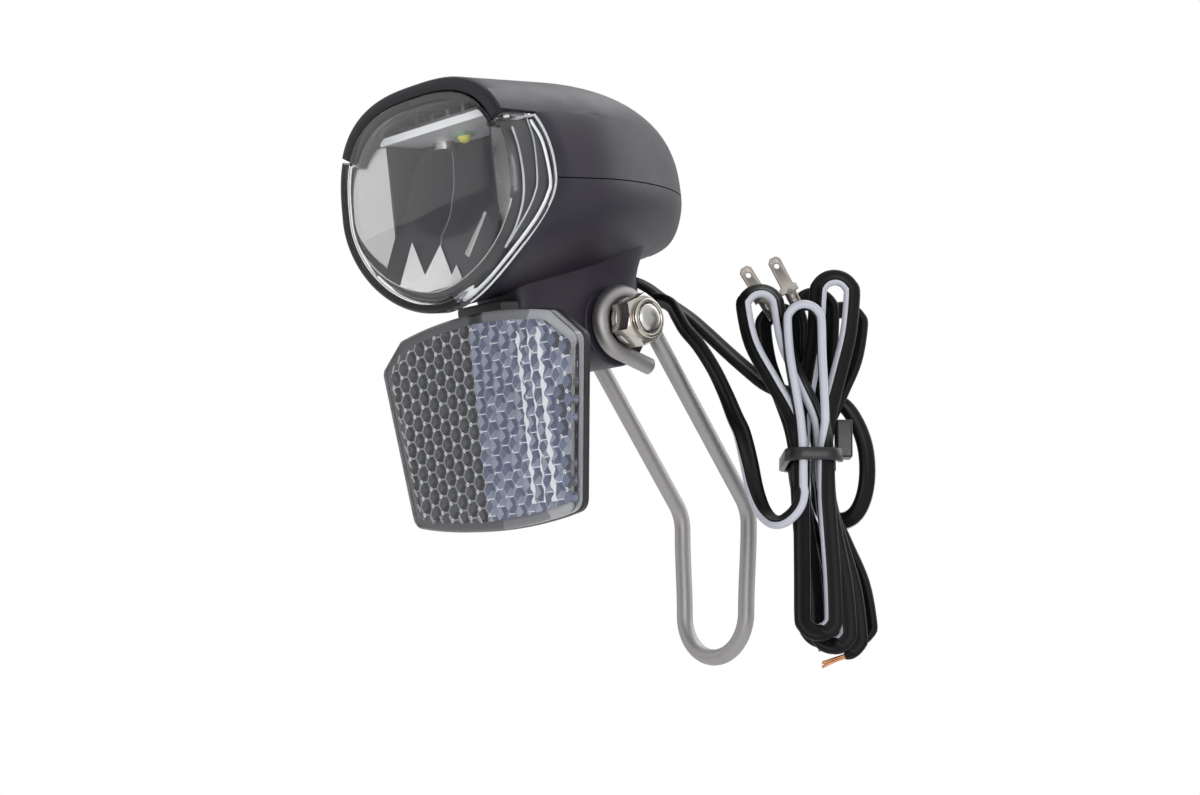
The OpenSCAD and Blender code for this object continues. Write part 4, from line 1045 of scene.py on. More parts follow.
@dataclass
class Lens:
    """Clear domed lens whose rim wraps round into two side wings."""

    wall: float = 1.7
    dome: float = 1.2
    dome_shares: tuple[float, ...] = (0.75, 0.6, 0.45, 0.3, 0.15, 0.0)
    rear_trim: float = 0.995
    rim_strips: int = 6
    rim: tuple[Pair, ...] = (
        (1.0, 1.6), (0.998, 1.0), (0.99, 0.5), (0.977, 0.2), (0.96, 0.05), (0.92, -0.18), (0.85, -0.5))
    bright_to: float = 284.0
    # Painted highlights inside the wings: the points of each bright strip, its half width and its finish.
    glint_strips: tuple = (
        (((19, 3.1), (8, 3.5), (0, 3.7), (346, 3.7), (333, 3.3), (322, 2.8)), 0.3, "wing_glint"),
        (((25, 7.8), (12, 7.8), (0, 7.3), (350, 6.6), (340, 5.2), (325, 3.1)), 0.22, "wing_glint"))
    edge_angles: tuple[float, ...] = (24, 12, 0, 350, 340, 330, 320, 310, 300, 290, 284)
    edge_half: float = 0.45

    def skin(self, inset: float, extra: bool) -> Piece:
        """One side of the lens from its rear edge to the middle of its face.

        Args:
            inset: 0 for the outside, the wall for the inside.
            extra: True where two first rows close the rear edge.

        Returns:
            The open surface.
        """
        edge, angles = FORM.lens_ring()
        top_k = FORM.hood_open - FORM.seat / (FORM.width / 2)
        face_k, face_back = self.rim[-1]

        def at(t: float, k: float, y: float, depth: float) -> Triple:
            """Point of a ring, kept inside the hood's opening at the top."""
            share = min(k, top_k) if FORM.above(t, edge) else k
            p = FORM.shrunk(FORM.point(t, FORM.hood_y, depth), share)
            return (p[0], y, p[2])

        def rear(t: float) -> float:
            """Rear edge of the lens at an angle."""
            return FORM.hood_y + self.wall + 1 if FORM.above(t, edge) else FORM.edge_y(t)

        trim = self.rear_trim if inset else 1.0
        rows = []
        if extra:
            rows += [[at(t, self.rear_trim, rear(t), self.wall * depth) for t in angles]
                     for depth in (1.0, 0.5)]
        rows.append([at(t, trim, rear(t), inset) for t in angles])
        for i, (k, back) in enumerate(self.rim):
            y = FORM.hood_y + back + inset
            rows.append([at(t, k * trim, min(y, rear(t) - 0.15 * (i + 1)), inset) for t in angles])
        for k in self.dome_shares:
            y = FORM.hood_y + face_back - self.dome * (1 - (k / face_k) ** 2) + inset
            rows.append([at(t, k, y, inset) for t in angles])
        skin = Bench.loft("lens_skin", rows)
        PALETTE.dress(skin, "lens_clear", "lens_edge_glint", "collar_black", "lens_rim_shade")
        # Painted light on the rim: the rear edge's faces are bright where light catches them, below the hood's
        # step or past bright_to, and black elsewhere; the strips round the rim get a dark tint, painted shade,
        # under the hood and on the dark side.
        for face in skin.data.polygons:
            strip, place = divmod(face.index, len(angles) - 1)
            strip, t = strip - 2 * extra, angles[place]
            dark_side = extra and 0 < strip and 180 - edge < t < self.bright_to
            if strip < 0:
                face.material_index = 1 if strip == -1 and (t < edge or t > self.bright_to) else 2
            elif strip < self.rim_strips and (FORM.above(t, edge) or dark_side):
                face.material_index = 3
        return skin

    def glint_strip(self, side: int, stations: Sequence[Pair], half: float, finish: str) -> Piece:
        """Painted highlight: a bright strip on the inside of a wing.

        Args:
            side: 1 or -1, the wing.
            stations: Angle and distance behind the hood's front of each point.
            half: Half its width.
            finish: Name of its finish.

        Returns:
            The strip.
        """
        points = [(FORM.point(t, FORM.hood_y, self.wall + 0.3), back) for t, back in stations]
        line = rounded(np.array([(side * p[0], FORM.hood_y + back, p[2]) for p, back in points]), 6)
        flat = [(half * a, 0.1 * b) for a, b in circle(1.0, 8)]
        strip = Bench.sweep("wing_glint_strip", line, carried_sides(line, (0, 1, 0)), flat, 0.3)
        return PALETTE.dress(strip, finish)

    def build(self) -> None:
        """Joins the two sides and sets the lens on the head."""
        lens = Bench.join("lens", [self.skin(0.0, True), self.skin(self.wall, False)])
        lens = Bench.settle(Bench.sew(lens, angle=38.0), HEAD_AXES)
        fit(lens, Body.HEAD, "clear_plastic", "front_lens")
        # The last strip paints the highlight along each wing's rear edge.
        rear = [(t, FORM.edge_y(t % 360) - FORM.hood_y - self.edge_half - 0.1) for t in self.edge_angles]
        glint_strips = self.glint_strips + ((rear, self.edge_half, "lens_edge_glint"),)
        strips = [self.glint_strip(side, *glint_strip) for side in (1, -1) for glint_strip in glint_strips]
        fit(Bench.settle(Bench.join("wing_glint_strips", strips), HEAD_AXES), Body.HEAD, "clear_plastic")


@dataclass
class BeamMirror:
    """Metallised mirror: a bowl under the emitter, flat cheeks at its sides and facets at its foot. Bowl and
    walls are painted dark reflection, not metal.
    """

    focus_y: float = -31.0
    top_z: float = 41.8
    focal: float = 8.2
    front: float = -42.1
    size: float = 0.905
    cheek_x: float = 17.0
    cheek_y: float = -38.4
    foot: float = 0.805
    ridge: tuple[Pair, ...] = ((0.3, -2.9), (0.616, -8.0), (0.787, -9.5), (1.0, -10.6))
    sheet: float = 0.6
    slope: float = 0.45
    lip_x: float = 25.0
    crown: tuple[Pair, ...] = (
        (-11.8, 2.7), (-11.7, 9.3), (-5.3, 3.4), (-2.9, 9.8), (3.8, 2.3), (4.6, 4.2), (7.9, 0.4))
    glint: tuple = (((6.8, 15.4), (8.3, 14.6)), ((9.0, 23.9), (11.0, 23.2)))

    def bowl_y(self, x: float, z: float) -> float:
        """Depth of the bowl, cut off at the front."""
        r2 = x * x + (z - self.top_z) ** 2
        floor = self.front + self.slope * max(0.0, z - self.foot_z(x))
        return max(floor, self.focus_y + self.focal - r2 / (4 * self.focal))

    def foot_z(self, x: float) -> float:
        """Lower edge of the mirror."""
        half = FORM.width / 2 * self.size
        share = max(0.0, 1 - (abs(x) / half) ** FORM.belly_power) ** (1 / FORM.belly_power)
        return FORM.parting - FORM.belly_h * self.foot * share

    def rim_x(self, z: float) -> float:
        """Half width of the mirror at a height."""
        low = z < FORM.parting
        power = FORM.belly_power if low else FORM.roof_power
        reach = FORM.belly_h * self.foot if low else FORM.roof_h * self.size
        share = max(0.0, 1 - (abs(z - FORM.parting) / reach) ** power) ** (1 / power)
        return FORM.width / 2 * self.size * share

    def ridge_x(self, share: float) -> float:
        """Place of the facet line that crosses the bowl, at a share of its height."""
        return float(np.interp(share, *zip(*self.ridge)))

    def patch(self, rows: Rows, finish: str) -> Piece:
        """Sheet of the mirror with its thickness and its finish."""
        piece = Bench.thicken(Bench.loft("mirror_patch", rows), self.sheet, -1.0)
        return PALETTE.dress(Bench.sew(piece, angle=30.0), finish)

    def at(self, x: float, v: float, lift: float = 0.0) -> Triple:
        """Point of the bowl at a sideways place and a share of its height, lifted towards the front."""
        z = mix(self.foot_z(x), self.top_z, v)
        return (x, self.bowl_y(x, z) - lift, z)

    @staticmethod
    def edge(name: str, line: np.ndarray, side: Triple, radius: float, finish: str) -> Piece:
        """Thin edge along a line.

        Args:
            name: Name of the piece.
            line: Points of the line.
            side: Side wanted at its start.
            radius: Radius of the edge.
            finish: Name of its finish.

        Returns:
            The edge.
        """
        return PALETTE.dress(Bench.sweep(name, line, carried_sides(line, side), circle(radius, 6)), finish)

    def cheek(self, s: int) -> list[Piece]:
        """Flat cheek on side s, and the wall between it and the bowl, painted dark reflection like the bowl."""
        c = self.cheek_x
        heights = np.linspace(self.foot_z(c) + 0.2, self.top_z, 25)
        reach = FORM.width / 2 * self.size - c
        order = slice(None, None, s)
        flat = [[(s * mix(c, self.rim_x(z), u),
                  mix(self.cheek_y, self.front, u * (self.rim_x(z) - c) / reach), z)
                 for u in np.linspace(0, 1, 9)][order] for z in heights]
        wall = [[(s * c, mix(self.cheek_y, max(self.cheek_y + 0.2, self.bowl_y(c, z)), u), z)
                 for u in np.linspace(0, 1, 7)][order] for z in heights]
        return [self.patch(flat, "mirror_coat"), self.patch(wall, "mirror_deep")]

    def build(self) -> None:
        """Makes bowl, walls, cheeks and facets and sets the mirror on the head."""
        c, levels = self.cheek_x, np.linspace(0, 1, 33)
        deep = [[self.at(x, v) for x in np.linspace(-c, self.ridge_x(v), 25)] for v in levels]
        side = [[self.at(x, v) for x in np.linspace(self.ridge_x(v), c, 25)] for v in levels]
        # The bowl is painted dark reflection, not metal: darker left of the facet line, a little lighter right
        # of it.
        parts = [self.patch(deep, "mirror_deep"), self.patch(side, "mirror_side")]
        parts += self.cheek(1) + self.cheek(-1)
        # Painted highlight: a thin light line along the facet crease.
        ridge = np.array([self.at(self.ridge_x(v), v, 0.05) for v in np.linspace(self.ridge[0][0], 1, 25)])
        parts.append(self.edge("mirror_ridge", ridge, (1, 0, 0), 0.1, "cell_rim"))
        crown = [[(x, self.front + self.slope * rise * u - 0.35, self.foot_z(x) + 0.1 + rise * u)
                  for x, rise in self.crown] for u in (0.0, 0.5, 1.0)]
        parts.append(self.patch(crown, "mirror_coat"))
        # Painted reflection: a light grey streak lying on the bowl.
        glint = [[(x, self.bowl_y(x, z) - 0.4, z) for x, z in row] for row in self.glint]
        parts.append(self.patch(glint, "painted_glint_grey"))
        places = self.lip_x * np.sin(np.radians(np.arange(-88, 89, 4)))
        lip = np.array([(x, self.front - 0.1, self.foot_z(x)) for x in places])
        parts.append(self.edge("mirror_lip", lip, (0, 1, 0), 0.16, "mirror_coat"))
        fit(Bench.settle(Bench.join("mirror", parts), HEAD_AXES), Body.HEAD, "metallised", "beam_mirror")


@dataclass
class LightUnit:
    """Emitter under its board, and the finishes of the pieces inside the head."""

    emitter_y: float = -31.0
    board_z: float = 42.0
    emitter_w: float = 3.5
    base_h: float = 0.8
    dome_share: float = 0.42
    inside: dict[str, str] = field(default_factory=lambda: {
        "emitter_board": "board_white", "heat_sink": "sink_aluminium", "board_screws": "screw_zinc",
        "driver_board": "driver_green", "capacitor": "sleeve_dark", "rectifier_diodes": "sleeve_dark",
        "driver_screws": "screw_zinc", "shell_screws": "screw_zinc", "cable_grommet": "grommet_rubber"})

    def build(self) -> None:
        """Makes the emitter and dresses the inner pieces."""
        w = self.emitter_w / 2
        base = Bench.slab("emitter_base", [(-w, -w), (w, -w), (w, w), (-w, w)],
                          lambda x, y: (x, self.emitter_y + y, self.board_z), (0, 0, -self.base_h), 0.3)
        Bench.bevel(base, 0.12)
        PALETTE.dress(base, "emitter_base", "phosphor")
        r, top = self.dome_share * self.emitter_w, self.board_z - self.base_h + 0.02
        rows = [[(r * math.cos(e) * c, self.emitter_y + r * math.cos(e) * s, top - r * math.sin(e))
                 for c, s in around(25)] for e in np.linspace(0, math.pi / 2, 9)]
        dome = Bench.sew(Bench.loft("emitter_dome", rows), fill=True)
        PALETTE.dress(dome, "emitter_base", "phosphor")
        for face in dome.data.polygons:
            face.material_index = 1
        emitter = Bench.settle(Bench.join("emitter", [base, dome]), HEAD_AXES)
        fit(emitter, Body.HEAD, "emitter", "light_emitter")
        for node, finish in self.inside.items():
            PALETTE.dress(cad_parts[node], finish)


@dataclass
class FrontReflector:
    """Hanging reflector: a black plate and a clear plate with a field of prism cells."""

    width: float = 62.4
    height: float = 44.8
    foot_width: float = 51.6
    top_z: float = 3.8
    drop: float = 8.3
    face_y: float = -35.2
    prism_t: float = 2.6
    plate_t: float = 1.5
    plate_rim: float = 0.2
    top_arc: float = 119.0
    foot_arc: float = 138.0
    pitch: float = 3.5
    border: float = 0.17
    knot: float = 0.45
    cell_depth: float = 0.9
    margin: float = 2.0
    foil: float = 0.08
    bar_half: Pair = (0.95, 0.24)
    rim_steps: Pair = (2.0, 16.0)
    scatter: Triple = (12.9898, 78.233, 43758.5453)
    # Painted reflection across the cell field: for each sideways limit, the chance of each tone set.
    tone_fields: tuple = (
        (-1.0, ((0.8, 0), (1.0, 1))), (23.5, ((0.45, 2), (0.8, 3), (1.0, 4))), (math.inf, ((0.55, 5), (1.0, 4))))
    # Painted reflections: place and width of the bright streaks down the pale half.
    streaks: tuple[Pair, ...] = ((13.4, 1.5), (19.6, 1.9), (16.6, 0.7))
    arm_y: float = -27.5
    tones: tuple[str, ...] = ("cell_rim", "cell_dark", "cell_dim", "cell_blue", "cell_pale", "cell_glint")
    # Painted reflection of each tone set: the three facets, the border, a bright top bar as a painted glint, and
    # the corner glints.
    tone_sets: tuple = (
        ((1, 2, 1), 0, 0, 5), ((2, 2, 1), 0, 0, 5), ((3, 4, 3), 3, 5, 4), ((3, 3, 4), 4, 5, 4),
        ((4, 3, 4), 4, 5, 5), ((2, 3, 2), 3, 4, 5))

    def outline(self, grow: float = 0.0) -> list[Pair]:
        """Outline of the plates, seen from the front, in order."""
        half, foot, low = self.width / 2, self.foot_width / 2, self.top_z - self.height
        corners = [(x, self.top_z - x * x / (2 * self.top_arc), 0.0) for x in np.linspace(0, 20, 9)]
        corners += [(23.9, 1.39, 2.0), (half, self.top_z - self.drop, 2.0), (foot - 0.37, low + 2.4, 3.0)]
        corners += [(x, low + x * x / (2 * self.foot_arc), 0.0) for x in np.linspace(20, 0, 9)]
        corners += [(-x, z, r) for x, z, r in reversed(corners[1:-1])]
        k, mid = (half + grow) / half, self.top_z - self.height / 2
        return [(x * k, mid + (z - mid) * k) for x, z in filleted(corners)]

    def field_edges(self) -> list[tuple[Vector, Vector]]:
        """Points and outward directions of the straight edges that bound the cells."""
        half, foot, low = self.width / 2, self.foot_width / 2, self.top_z - self.height
        top = [(x, self.top_z - x * x / (2 * self.top_arc)) for x in (-21.5, -12.0, 0.0, 12.0, 21.5)]
        under = [(x, low + x * x / (2 * self.foot_arc)) for x in (foot - 2, 12.0, 0.0, -12.0, 2 - foot)]
        drop = self.top_z - self.drop
        corners = top + [(half, drop), (foot, low + 3)] + under + [(-foot, low + 3), (-half, drop)]
        ring = [Vector(p) for p in corners]
        found = []
        for a, b in zip(ring, ring[1:] + ring[:1]):
            out = Vector((-(b - a).y, (b - a).x)).normalized()
            found.append(((a + b) / 2 - out * self.margin, out))
        return found

    def cell(self, kind: int) -> Piece:
        """One hexagonal cell: a thin border with three corners painted as bright glints round three sunk facets.

        Args:
            kind: Which of the tone sets it takes.

        Returns:
            The cell at the origin, facing -Y.
        """
        Bench.clear()
        bpy.ops.mesh.primitive_circle_add(vertices=6, radius=self.pitch / 2 / math.cos(math.pi / 6) * MM,
                                          fill_type="NGON", rotation=(math.pi / 2, math.pi / 6, 0))
        piece = Bench.named("cell")
        bpy.ops.object.transform_apply(location=True, rotation=True, scale=True)
        with Bench.editing(piece):
            bpy.ops.mesh.select_mode(type="VERT")
            bpy.ops.mesh.inset(thickness=self.border * MM, depth=0.0)
            bpy.ops.mesh.select_all(action="DESELECT")
        mesh = piece.data
        reach = max(v.co.length for v in mesh.vertices) - 0.5 * self.border * MM
        for v in mesh.vertices:
            turn = round(math.degrees(math.atan2(v.co.z, v.co.x))) % 120
            v.select = v.co.length < reach and turn in (0, 1, 119)
        with Bench.editing(piece, whole=False):
            bpy.ops.mesh.bevel(offset=self.knot * MM, segments=1, affect="VERTICES")
            bpy.ops.mesh.select_all(action="DESELECT")
            bpy.ops.mesh.select_mode(type="FACE")
        max(mesh.polygons, key=lambda f: f.area).select = True
        with Bench.editing(piece, whole=False):
            bpy.ops.mesh.poke(offset=0.0)
        PALETTE.dress(piece, *self.tones)
        facets, border, bar, knot = self.tone_sets[kind]
        centre = min(mesh.vertices, key=lambda v: v.co.length)
        for face in mesh.polygons:
            middle = face.center
            turn = math.degrees(math.atan2(middle.z, middle.x)) % 360
            if centre.index in face.vertices:
                face.material_index = facets[int(((turn + 30) % 360) // 120)]
            elif len(face.vertices) == 3:
                face.material_index = knot
            else:
                face.material_index = bar if abs(turn - 90) < 15 else border
        centre.co.y += self.cell_depth * MM
        return piece

    def kind(self, c: int, r: int, x: float) -> int:
        """Tone set of a cell's painted reflection: dim on one half, changing from cell to cell on the other."""
        a, b, size = self.scatter
        chance = math.sin(c * a + r * b) * size % 1.0
        choices = next(row for end, row in self.tone_fields if x <= end)
        return next(kind for limit, kind in choices if chance < limit)

    def cell_y(self, lift: float) -> float:
        """Depth of the cells' borders, lifted towards the front."""
        return self.face_y + self.prism_t - self.cell_depth - lift

    def cells(self) -> Piece:
        """Field of cells, the two halves in their own tones of painted reflection, cut along the clear rim."""
        kinds = [self.cell(k) for k in range(len(self.tone_sets))]
        step = self.pitch * math.cos(math.pi / 6)
        copies = []
        y = self.cell_y(0.35)
        mid = self.top_z - self.height / 2
        for c in range(-11, 12):
            for r in range(-8, 9):
                x, z = c * step, mid + (r + (abs(c) % 2) / 2) * self.pitch
                copy = bpy.data.objects.new("cell", kinds[self.kind(c, r, x)].data.copy())
                copy.data.transform(Matrix.Translation(Vector((x, y, z)) * MM))
                bpy.context.scene.collection.objects.link(copy)
                copies.append(copy)
        for kind in kinds:
            bpy.data.objects.remove(kind, do_unlink=True)
        sheet = Bench.sew(Bench.join("prism_cells", copies), angle=5.0)
        with Bench.editing(sheet):
            for at, out in self.field_edges():
                bpy.ops.mesh.select_all(action="SELECT")
                bpy.ops.mesh.bisect(plane_co=(at.x * MM, 0, at.y * MM), plane_no=(out.x, 0, out.y),
                                    clear_outer=True)
        return Bench.shade(Bench.thicken(sheet, 0.12), 5.0)

    def streak(self, x: float, wide: float) -> Piece:
        """Painted reflection: a bright wavy line down the pale half."""
        y = self.cell_y(0.55)
        low, high = self.top_z - self.height + 4.6, self.top_z - 5.2
        rows = []
        for i in range(49):
            z = mix(low, high, i / 48)
            sway = 0.22 * math.sin(2 * math.pi * z / self.pitch) + 0.12 * math.sin(2.7 * z + x)
            half = wide / 2 * (0.62 + 0.38 * math.sin(1.9 * z + 2.0 * x))
            rows.append([(x + sway - half, y, z), (x + sway + half, y, z)])
        piece = Bench.thicken(Bench.loft("prism_streak", rows), self.foil)
        return PALETTE.dress(Bench.sew(piece), "cell_glint")

    def bars(self) -> Piece:
        """Painted highlights: short bright bars along the cut edge of the dim half."""
        y = self.cell_y(0.5)
        low = self.top_z - self.height
        runs = (((-24.5, -1.4), (-29.0, -5.2), 1), ((-28.6, -7.4), (-23.6, low + 5.0), -1),
                ((-21.5, low + 3.9), (-2.5, low + 2.6), -1))
        parts = []
        for start, end, lean in runs:
            a, b = Vector(start), Vector(end)
            count = max(2, round((b - a).length / self.pitch * 1.05))
            for i in range(count):
                at = a.lerp(b, (i + 0.5) / count)
                along = Vector((0.5, 0.866 * lean)) * self.bar_half[0]
                wide = Vector((along.y, -along.x)).normalized() * self.bar_half[1]
                rows = [[(p.x, y, p.y) for p in (at + k * along - wide, at + k * along + wide)]
                        for k in (-1, 1)]
                parts.append(Bench.thicken(Bench.loft("prism_bar", rows), self.foil))
        return PALETTE.dress(Bench.sew(Bench.join("prism_bars", parts)), "painted_glint_grey")

    def rim_sheet(self) -> Piece:
        """Sheet behind the clear rim, painted with light that is paler towards the nut's side."""
        outer, inner = self.outline(-0.15), self.outline(-self.margin - 0.9)
        y = self.face_y + self.prism_t - 0.12
        rows = [[(x, y, z) for x, z in ring + ring[:1]] for ring in (outer, inner)]
        piece = PALETTE.dress(Bench.loft("prism_rim", rows), "rim_grey", "rim_mid", "rim_pale")
        for face in piece.data.polygons:
            face.material_index = sum(face.center.x > x * MM for x in self.rim_steps)
        return Bench.sew(Bench.thicken(piece, 0.06))

    def build(self) -> None:
        """Makes the two plates and the cells and sets them on the head."""
        back = self.face_y + self.prism_t
        plate = Bench.slab("reflector_back", self.outline(self.plate_rim), lambda x, z: (x, back, z),
                           (0, self.plate_t, 0))
        tab = Bench.slab("reflector_tab", [(-7, -1), (7, -1), (7, 5.9), (-7, 5.9)], lambda x, z: (x, back, z),
                         (0, self.arm_y - back, 0), 0.8)
        peg = Bench.rod("reflector_peg", (0, self.arm_y - 0.5, 3.5), (0, self.arm_y + 4, 3.5), 2.0, 32)
        parts = [Bench.bevel(part, soft) for part, soft in ((plate, 0.35), (tab, 0.3), (peg, 0.3))]
        plate = Bench.settle(Bench.join("reflector_back", parts), HEAD_AXES)
        fit(PALETTE.dress(plate, "plate_black"), Body.HEAD, "black_plastic", "reflector_plate")
        prism = Bench.slab("prism_cover", self.outline(), lambda x, z: (x, back - 0.02, z),
                           (0, -self.prism_t + 0.02, 0))
        prism = Bench.settle(Bench.bevel(prism, 0.55, 3), HEAD_AXES)
        fit(PALETTE.dress(prism, "prism_clear"), Body.HEAD, "prism_plastic", "reflector_prism")
        sheets = [self.cells(), self.rim_sheet(), self.bars()]
        sheets += [self.streak(*streak) for streak in self.streaks]
        for sheet in sheets:
            fit(Bench.settle(sheet, HEAD_AXES), Body.HEAD, "prism_plastic")


@dataclass
class Leads:
    """Two flat twin leads that leave the neck and are tied up in one hank."""

    width: float = 3.9
    thick: float = 1.95
    gap: float = 0.5
    end_gap: float = 0.25
    fold_r: float = 3.6
    foot_fold_r: float = 3.2
    waist: float = 2.5
    entry_z: float = -6.5
    turn: float = 47.5
    at: Triple = (37.6, 27.0, -29.4)
    dynamo_top: tuple = ((-2, 31.5), (-10.8, 35), (5, 38.5))
    dynamo_foot: tuple = ((0.8, 36.5), (4, 39), (6.5, 40))
    tail_top: tuple = ((8, 34), (1.5, 36.5), (-6, 32.5))
    tail_foot: tuple = ((9.4, 37), (5.5, 38.5), (2.4, 37.5))
    dynamo_free: tuple = (
        (2.4, 9.9, 7.2), (4.2, 11.3, 7.3), (7.5, 12, 7), (11, 11.8, 5.4), (13.8, 11, 2.6), (16.4, 10.8, -0.7),
        (19.6, 11.8, -4.6), (22.6, 13.2, -9.8), (24.8, 14.4, -15), (26.6, 15.6, -20.4))
    tail_free: tuple = (
        (2.3, 9.6, 11.5), (2.8, 12.6, 10.6), (4.2, 15.2, 8.6), (6.6, 17.2, 6.4), (9.9, 18.9, 3.6),
        (13.4, 20.7, 0), (17, 22.6, -3.9), (20.8, 25, -8))
    dynamo_approach: tuple = (
        (-14.4, -0.1, 5.6), (-13, 0, -0.2), (-11.9, 0.8, -6), (-10.5, 2.4, -10.6), (-8.8, 4.8, -13.2),
        (-6.9, 7.2, -13.8), (-4.8, 8.5, -12.6), (-3.2, 8.575, -10.4), (-2.6, 8.575, -8))
    tail_approach: tuple = (
        (-8, -11.6, 17.8), (-1.8, -12, 15.8), (4.4, -11.8, 15.4), (8.4, -11, 13.4), (10.9, -9.2, 9.2),
        (12.4, -7.4, 4), (12.7, -6.4, -1.6), (12, -6.4, -6.6), (10.4, -7.4, -10.2), (8, -8.6, -11.8),
        (5.2, -8.9, -11.4), (3.2, -8.575, -9.6), (2.6, -8.575, -7.8))
    exit_x: float = 2.2
    exit_y: float = 9.65
    dynamo_exit_z: float = 5.6
    tail_exit_z: float = 10.0
    spade_lean: Pair = (31.0, 27.0)
    spade_at: tuple[Triple, Triple] = ((-7.6, -0.4, 30.7), (-2.2, -0.4, 32.4))
    spade_barrel: tuple[Triple, ...] = (
        (0.0, 1.3, 1.3), (0.25, 1.35, 1.35), (1.1, 1.35, 1.3), (1.5, 1.3, 0.95), (2.7, 1.3, 0.9),
        (3.1, 1.32, 1.15), (3.9, 1.3, 1.05), (4.4, 1.3, 0.5), (5.2, 1.35, 0.4))
    spade_blade: tuple[Pair, ...] = (
        (-1.96, 4.4), (1.96, 4.4), (1.96, 5.7), (1.4, 6.0), (1.4, 11.9), (0.7, 12.7), (-0.7, 12.7),
        (-1.4, 11.9), (-1.4, 6.0), (-1.96, 5.7))
    turn_depth: float = 15.0
    roll_from: float = -3.0
    roll_over: float = 12.0
    strand_r: float = 0.19
    strand_ring: float = 0.34
    strand_len: Triple = (0.6, 2.0, 4.4)
    strand_flare: Pair = (0.3, 0.8)
    outer_layer: float = 3.5
    tie_room: float = 0.5
    tie_head: Triple = (2.5, 8.0, 3.4)
    tie_corner: float = 3.0
    tie_wide: float = 2.6
    tie_section: tuple[Pair, ...] = (
        (-1, 0.05), (-1, 1.0), (-0.9, 1.1), (0.9, 1.1), (1, 1.0), (1, 0.05), (0.95, 0.0), (-0.95, 0.0),
        (-1, 0.05))

    def __post_init__(self) -> None:
        """Works out the hank's axes and the leads' origin."""
        a, tilt = math.radians(self.turn), math.radians(HEAD_TILT)
        self.w = np.array([math.cos(a), math.sin(a), 0.0])
        self.n = np.array([math.sin(a), -math.cos(a), 0.0])
        self.origin = np.array(PIVOT) + BODY_BACK * np.array([0.0, math.cos(tilt), math.sin(tilt)])
        self.layer = self.thick + self.gap
        self.outer = self.outer_layer * self.layer

    def in_hank(self, points: Sequence[Triple]) -> np.ndarray:
        """Points of the hank's axes, counted from the leads' origin."""
        p = np.array(points, float)
        up = np.array([0.0, 0.0, 1.0])
        return np.array(self.at) + p[:, :1] * self.w + p[:, 1:2] * self.n + p[:, 2:] * up

    def exit_point(self, z: float) -> np.ndarray:
        """Where a lead leaves the grommet, counted from the leads' origin."""
        a = math.radians(HEAD_TILT)
        return np.array([self.exit_x, self.exit_y * math.cos(a) - z * math.sin(a),
                         self.exit_y * math.sin(a) + z * math.cos(a)])

    def loop(self, top: tuple, foot: tuple, side: int, n0: float, dn: float) -> list[Triple]:
        """One loop: up the first run, over the fold, down through the waist and round the foot.

        Args:
            top: Sideways place and height of the upper fold.
            foot: Sideways place and depth of the lower fold.
            side: 1 where the first run is on the left, -1 where it is on the right.
            n0: Layer in which it starts.
            dn: Step to the next layer.

        Returns:
            Its points, in the hank's axes.
        """
        th, fh = top[1] - self.fold_r, foot[1] - self.foot_fold_r
        runs = (0.25, 0.5, 0.75)
        turns = [math.pi * i / 6 for i in range(7)]

        def run(sign: int, middle: float, fold: float, t: float) -> float:
            """Sideways place on a run between the waist and a fold."""
            return mix(sign * self.waist, middle + sign * fold, ease(t))

        found = [(run(-side, top[0], self.fold_r, t), n0, th * t) for t in (0.0, *runs)]
        found += [(top[0] - side * self.fold_r * math.cos(a), n0, th + self.fold_r * math.sin(a))
                  for a in turns]
        found += [(run(side, top[0], self.fold_r, t), n0, th * t) for t in reversed(runs)]
        found += [(side * self.waist, n0 + dn / 2, 0.0)]
        found += [(run(side, foot[0], self.foot_fold_r, t), n0 + dn, -fh * t) for t in runs]
        found += [(foot[0] + side * self.foot_fold_r * math.cos(a), n0 + dn,
                   -fh - self.foot_fold_r * math.sin(a)) for a in turns]
        return found + [(run(-side, foot[0], self.foot_fold_r, t), n0 + dn, -fh * t) for t in reversed(runs)]

    def hank(self, tops: tuple, feet: tuple, side: int) -> list[Triple]:
        """Entry and all loops of one lead, in the hank's axes."""
        n0, dn = side * self.outer, -side * self.layer
        found = [(-side * self.waist, n0, self.entry_z), (-side * self.waist, n0, self.entry_z / 2)]
        for k, (top, foot) in enumerate(zip(tops, feet)):
            found += self.loop(top, foot, side, n0 + k * dn, dn)
        return found

    def twin_profile(self) -> list[Pair]:
        """Two round cores side by side with a web between them."""
        r = self.thick / 2
        right = [(r + r * math.cos(a), r * math.sin(a)) for a in np.radians(np.linspace(-125, 125, 9))]
        left = [(-r + r * math.cos(a), r * math.sin(a)) for a in np.radians(np.linspace(55, 305, 9))]
        return right + left

    def lead(self, name: str, route: np.ndarray, rolls: Sequence[float],
             stripe: int) -> tuple[Piece, np.ndarray]:
        """Sweeps a twin lead along its route.

        Args:
            name: Name of the piece.
            route: Points of the route, counted from the leads' origin.
            rolls: Turn of the lead about its own line at each point. At 90 the striped edge faces the
                front quarter.
            stripe: 1 or -1, the edge that carries the pale stripe.

        Returns:
            The lead and the fine points that it follows, in millimetres.
        """
        steps = 5
        line = rounded(route, steps)
        ways = tangents(line)
        flat = unit(np.cross(self.n, ways))
        out = np.cross(ways, flat)
        roll = np.radians(np.interp(np.arange(len(line)) / steps, np.arange(len(route)), rolls))[:, None]
        sides = flat * np.cos(roll) + stripe * out * np.sin(roll)
        line = line + self.origin
        first = 2 if stripe > 0 else 11
        piece = Bench.sweep(name, line, sides, self.twin_profile(), marked=range(first, first + 4))
        return PALETTE.dress(piece, "lead_black", "lead_white"), line

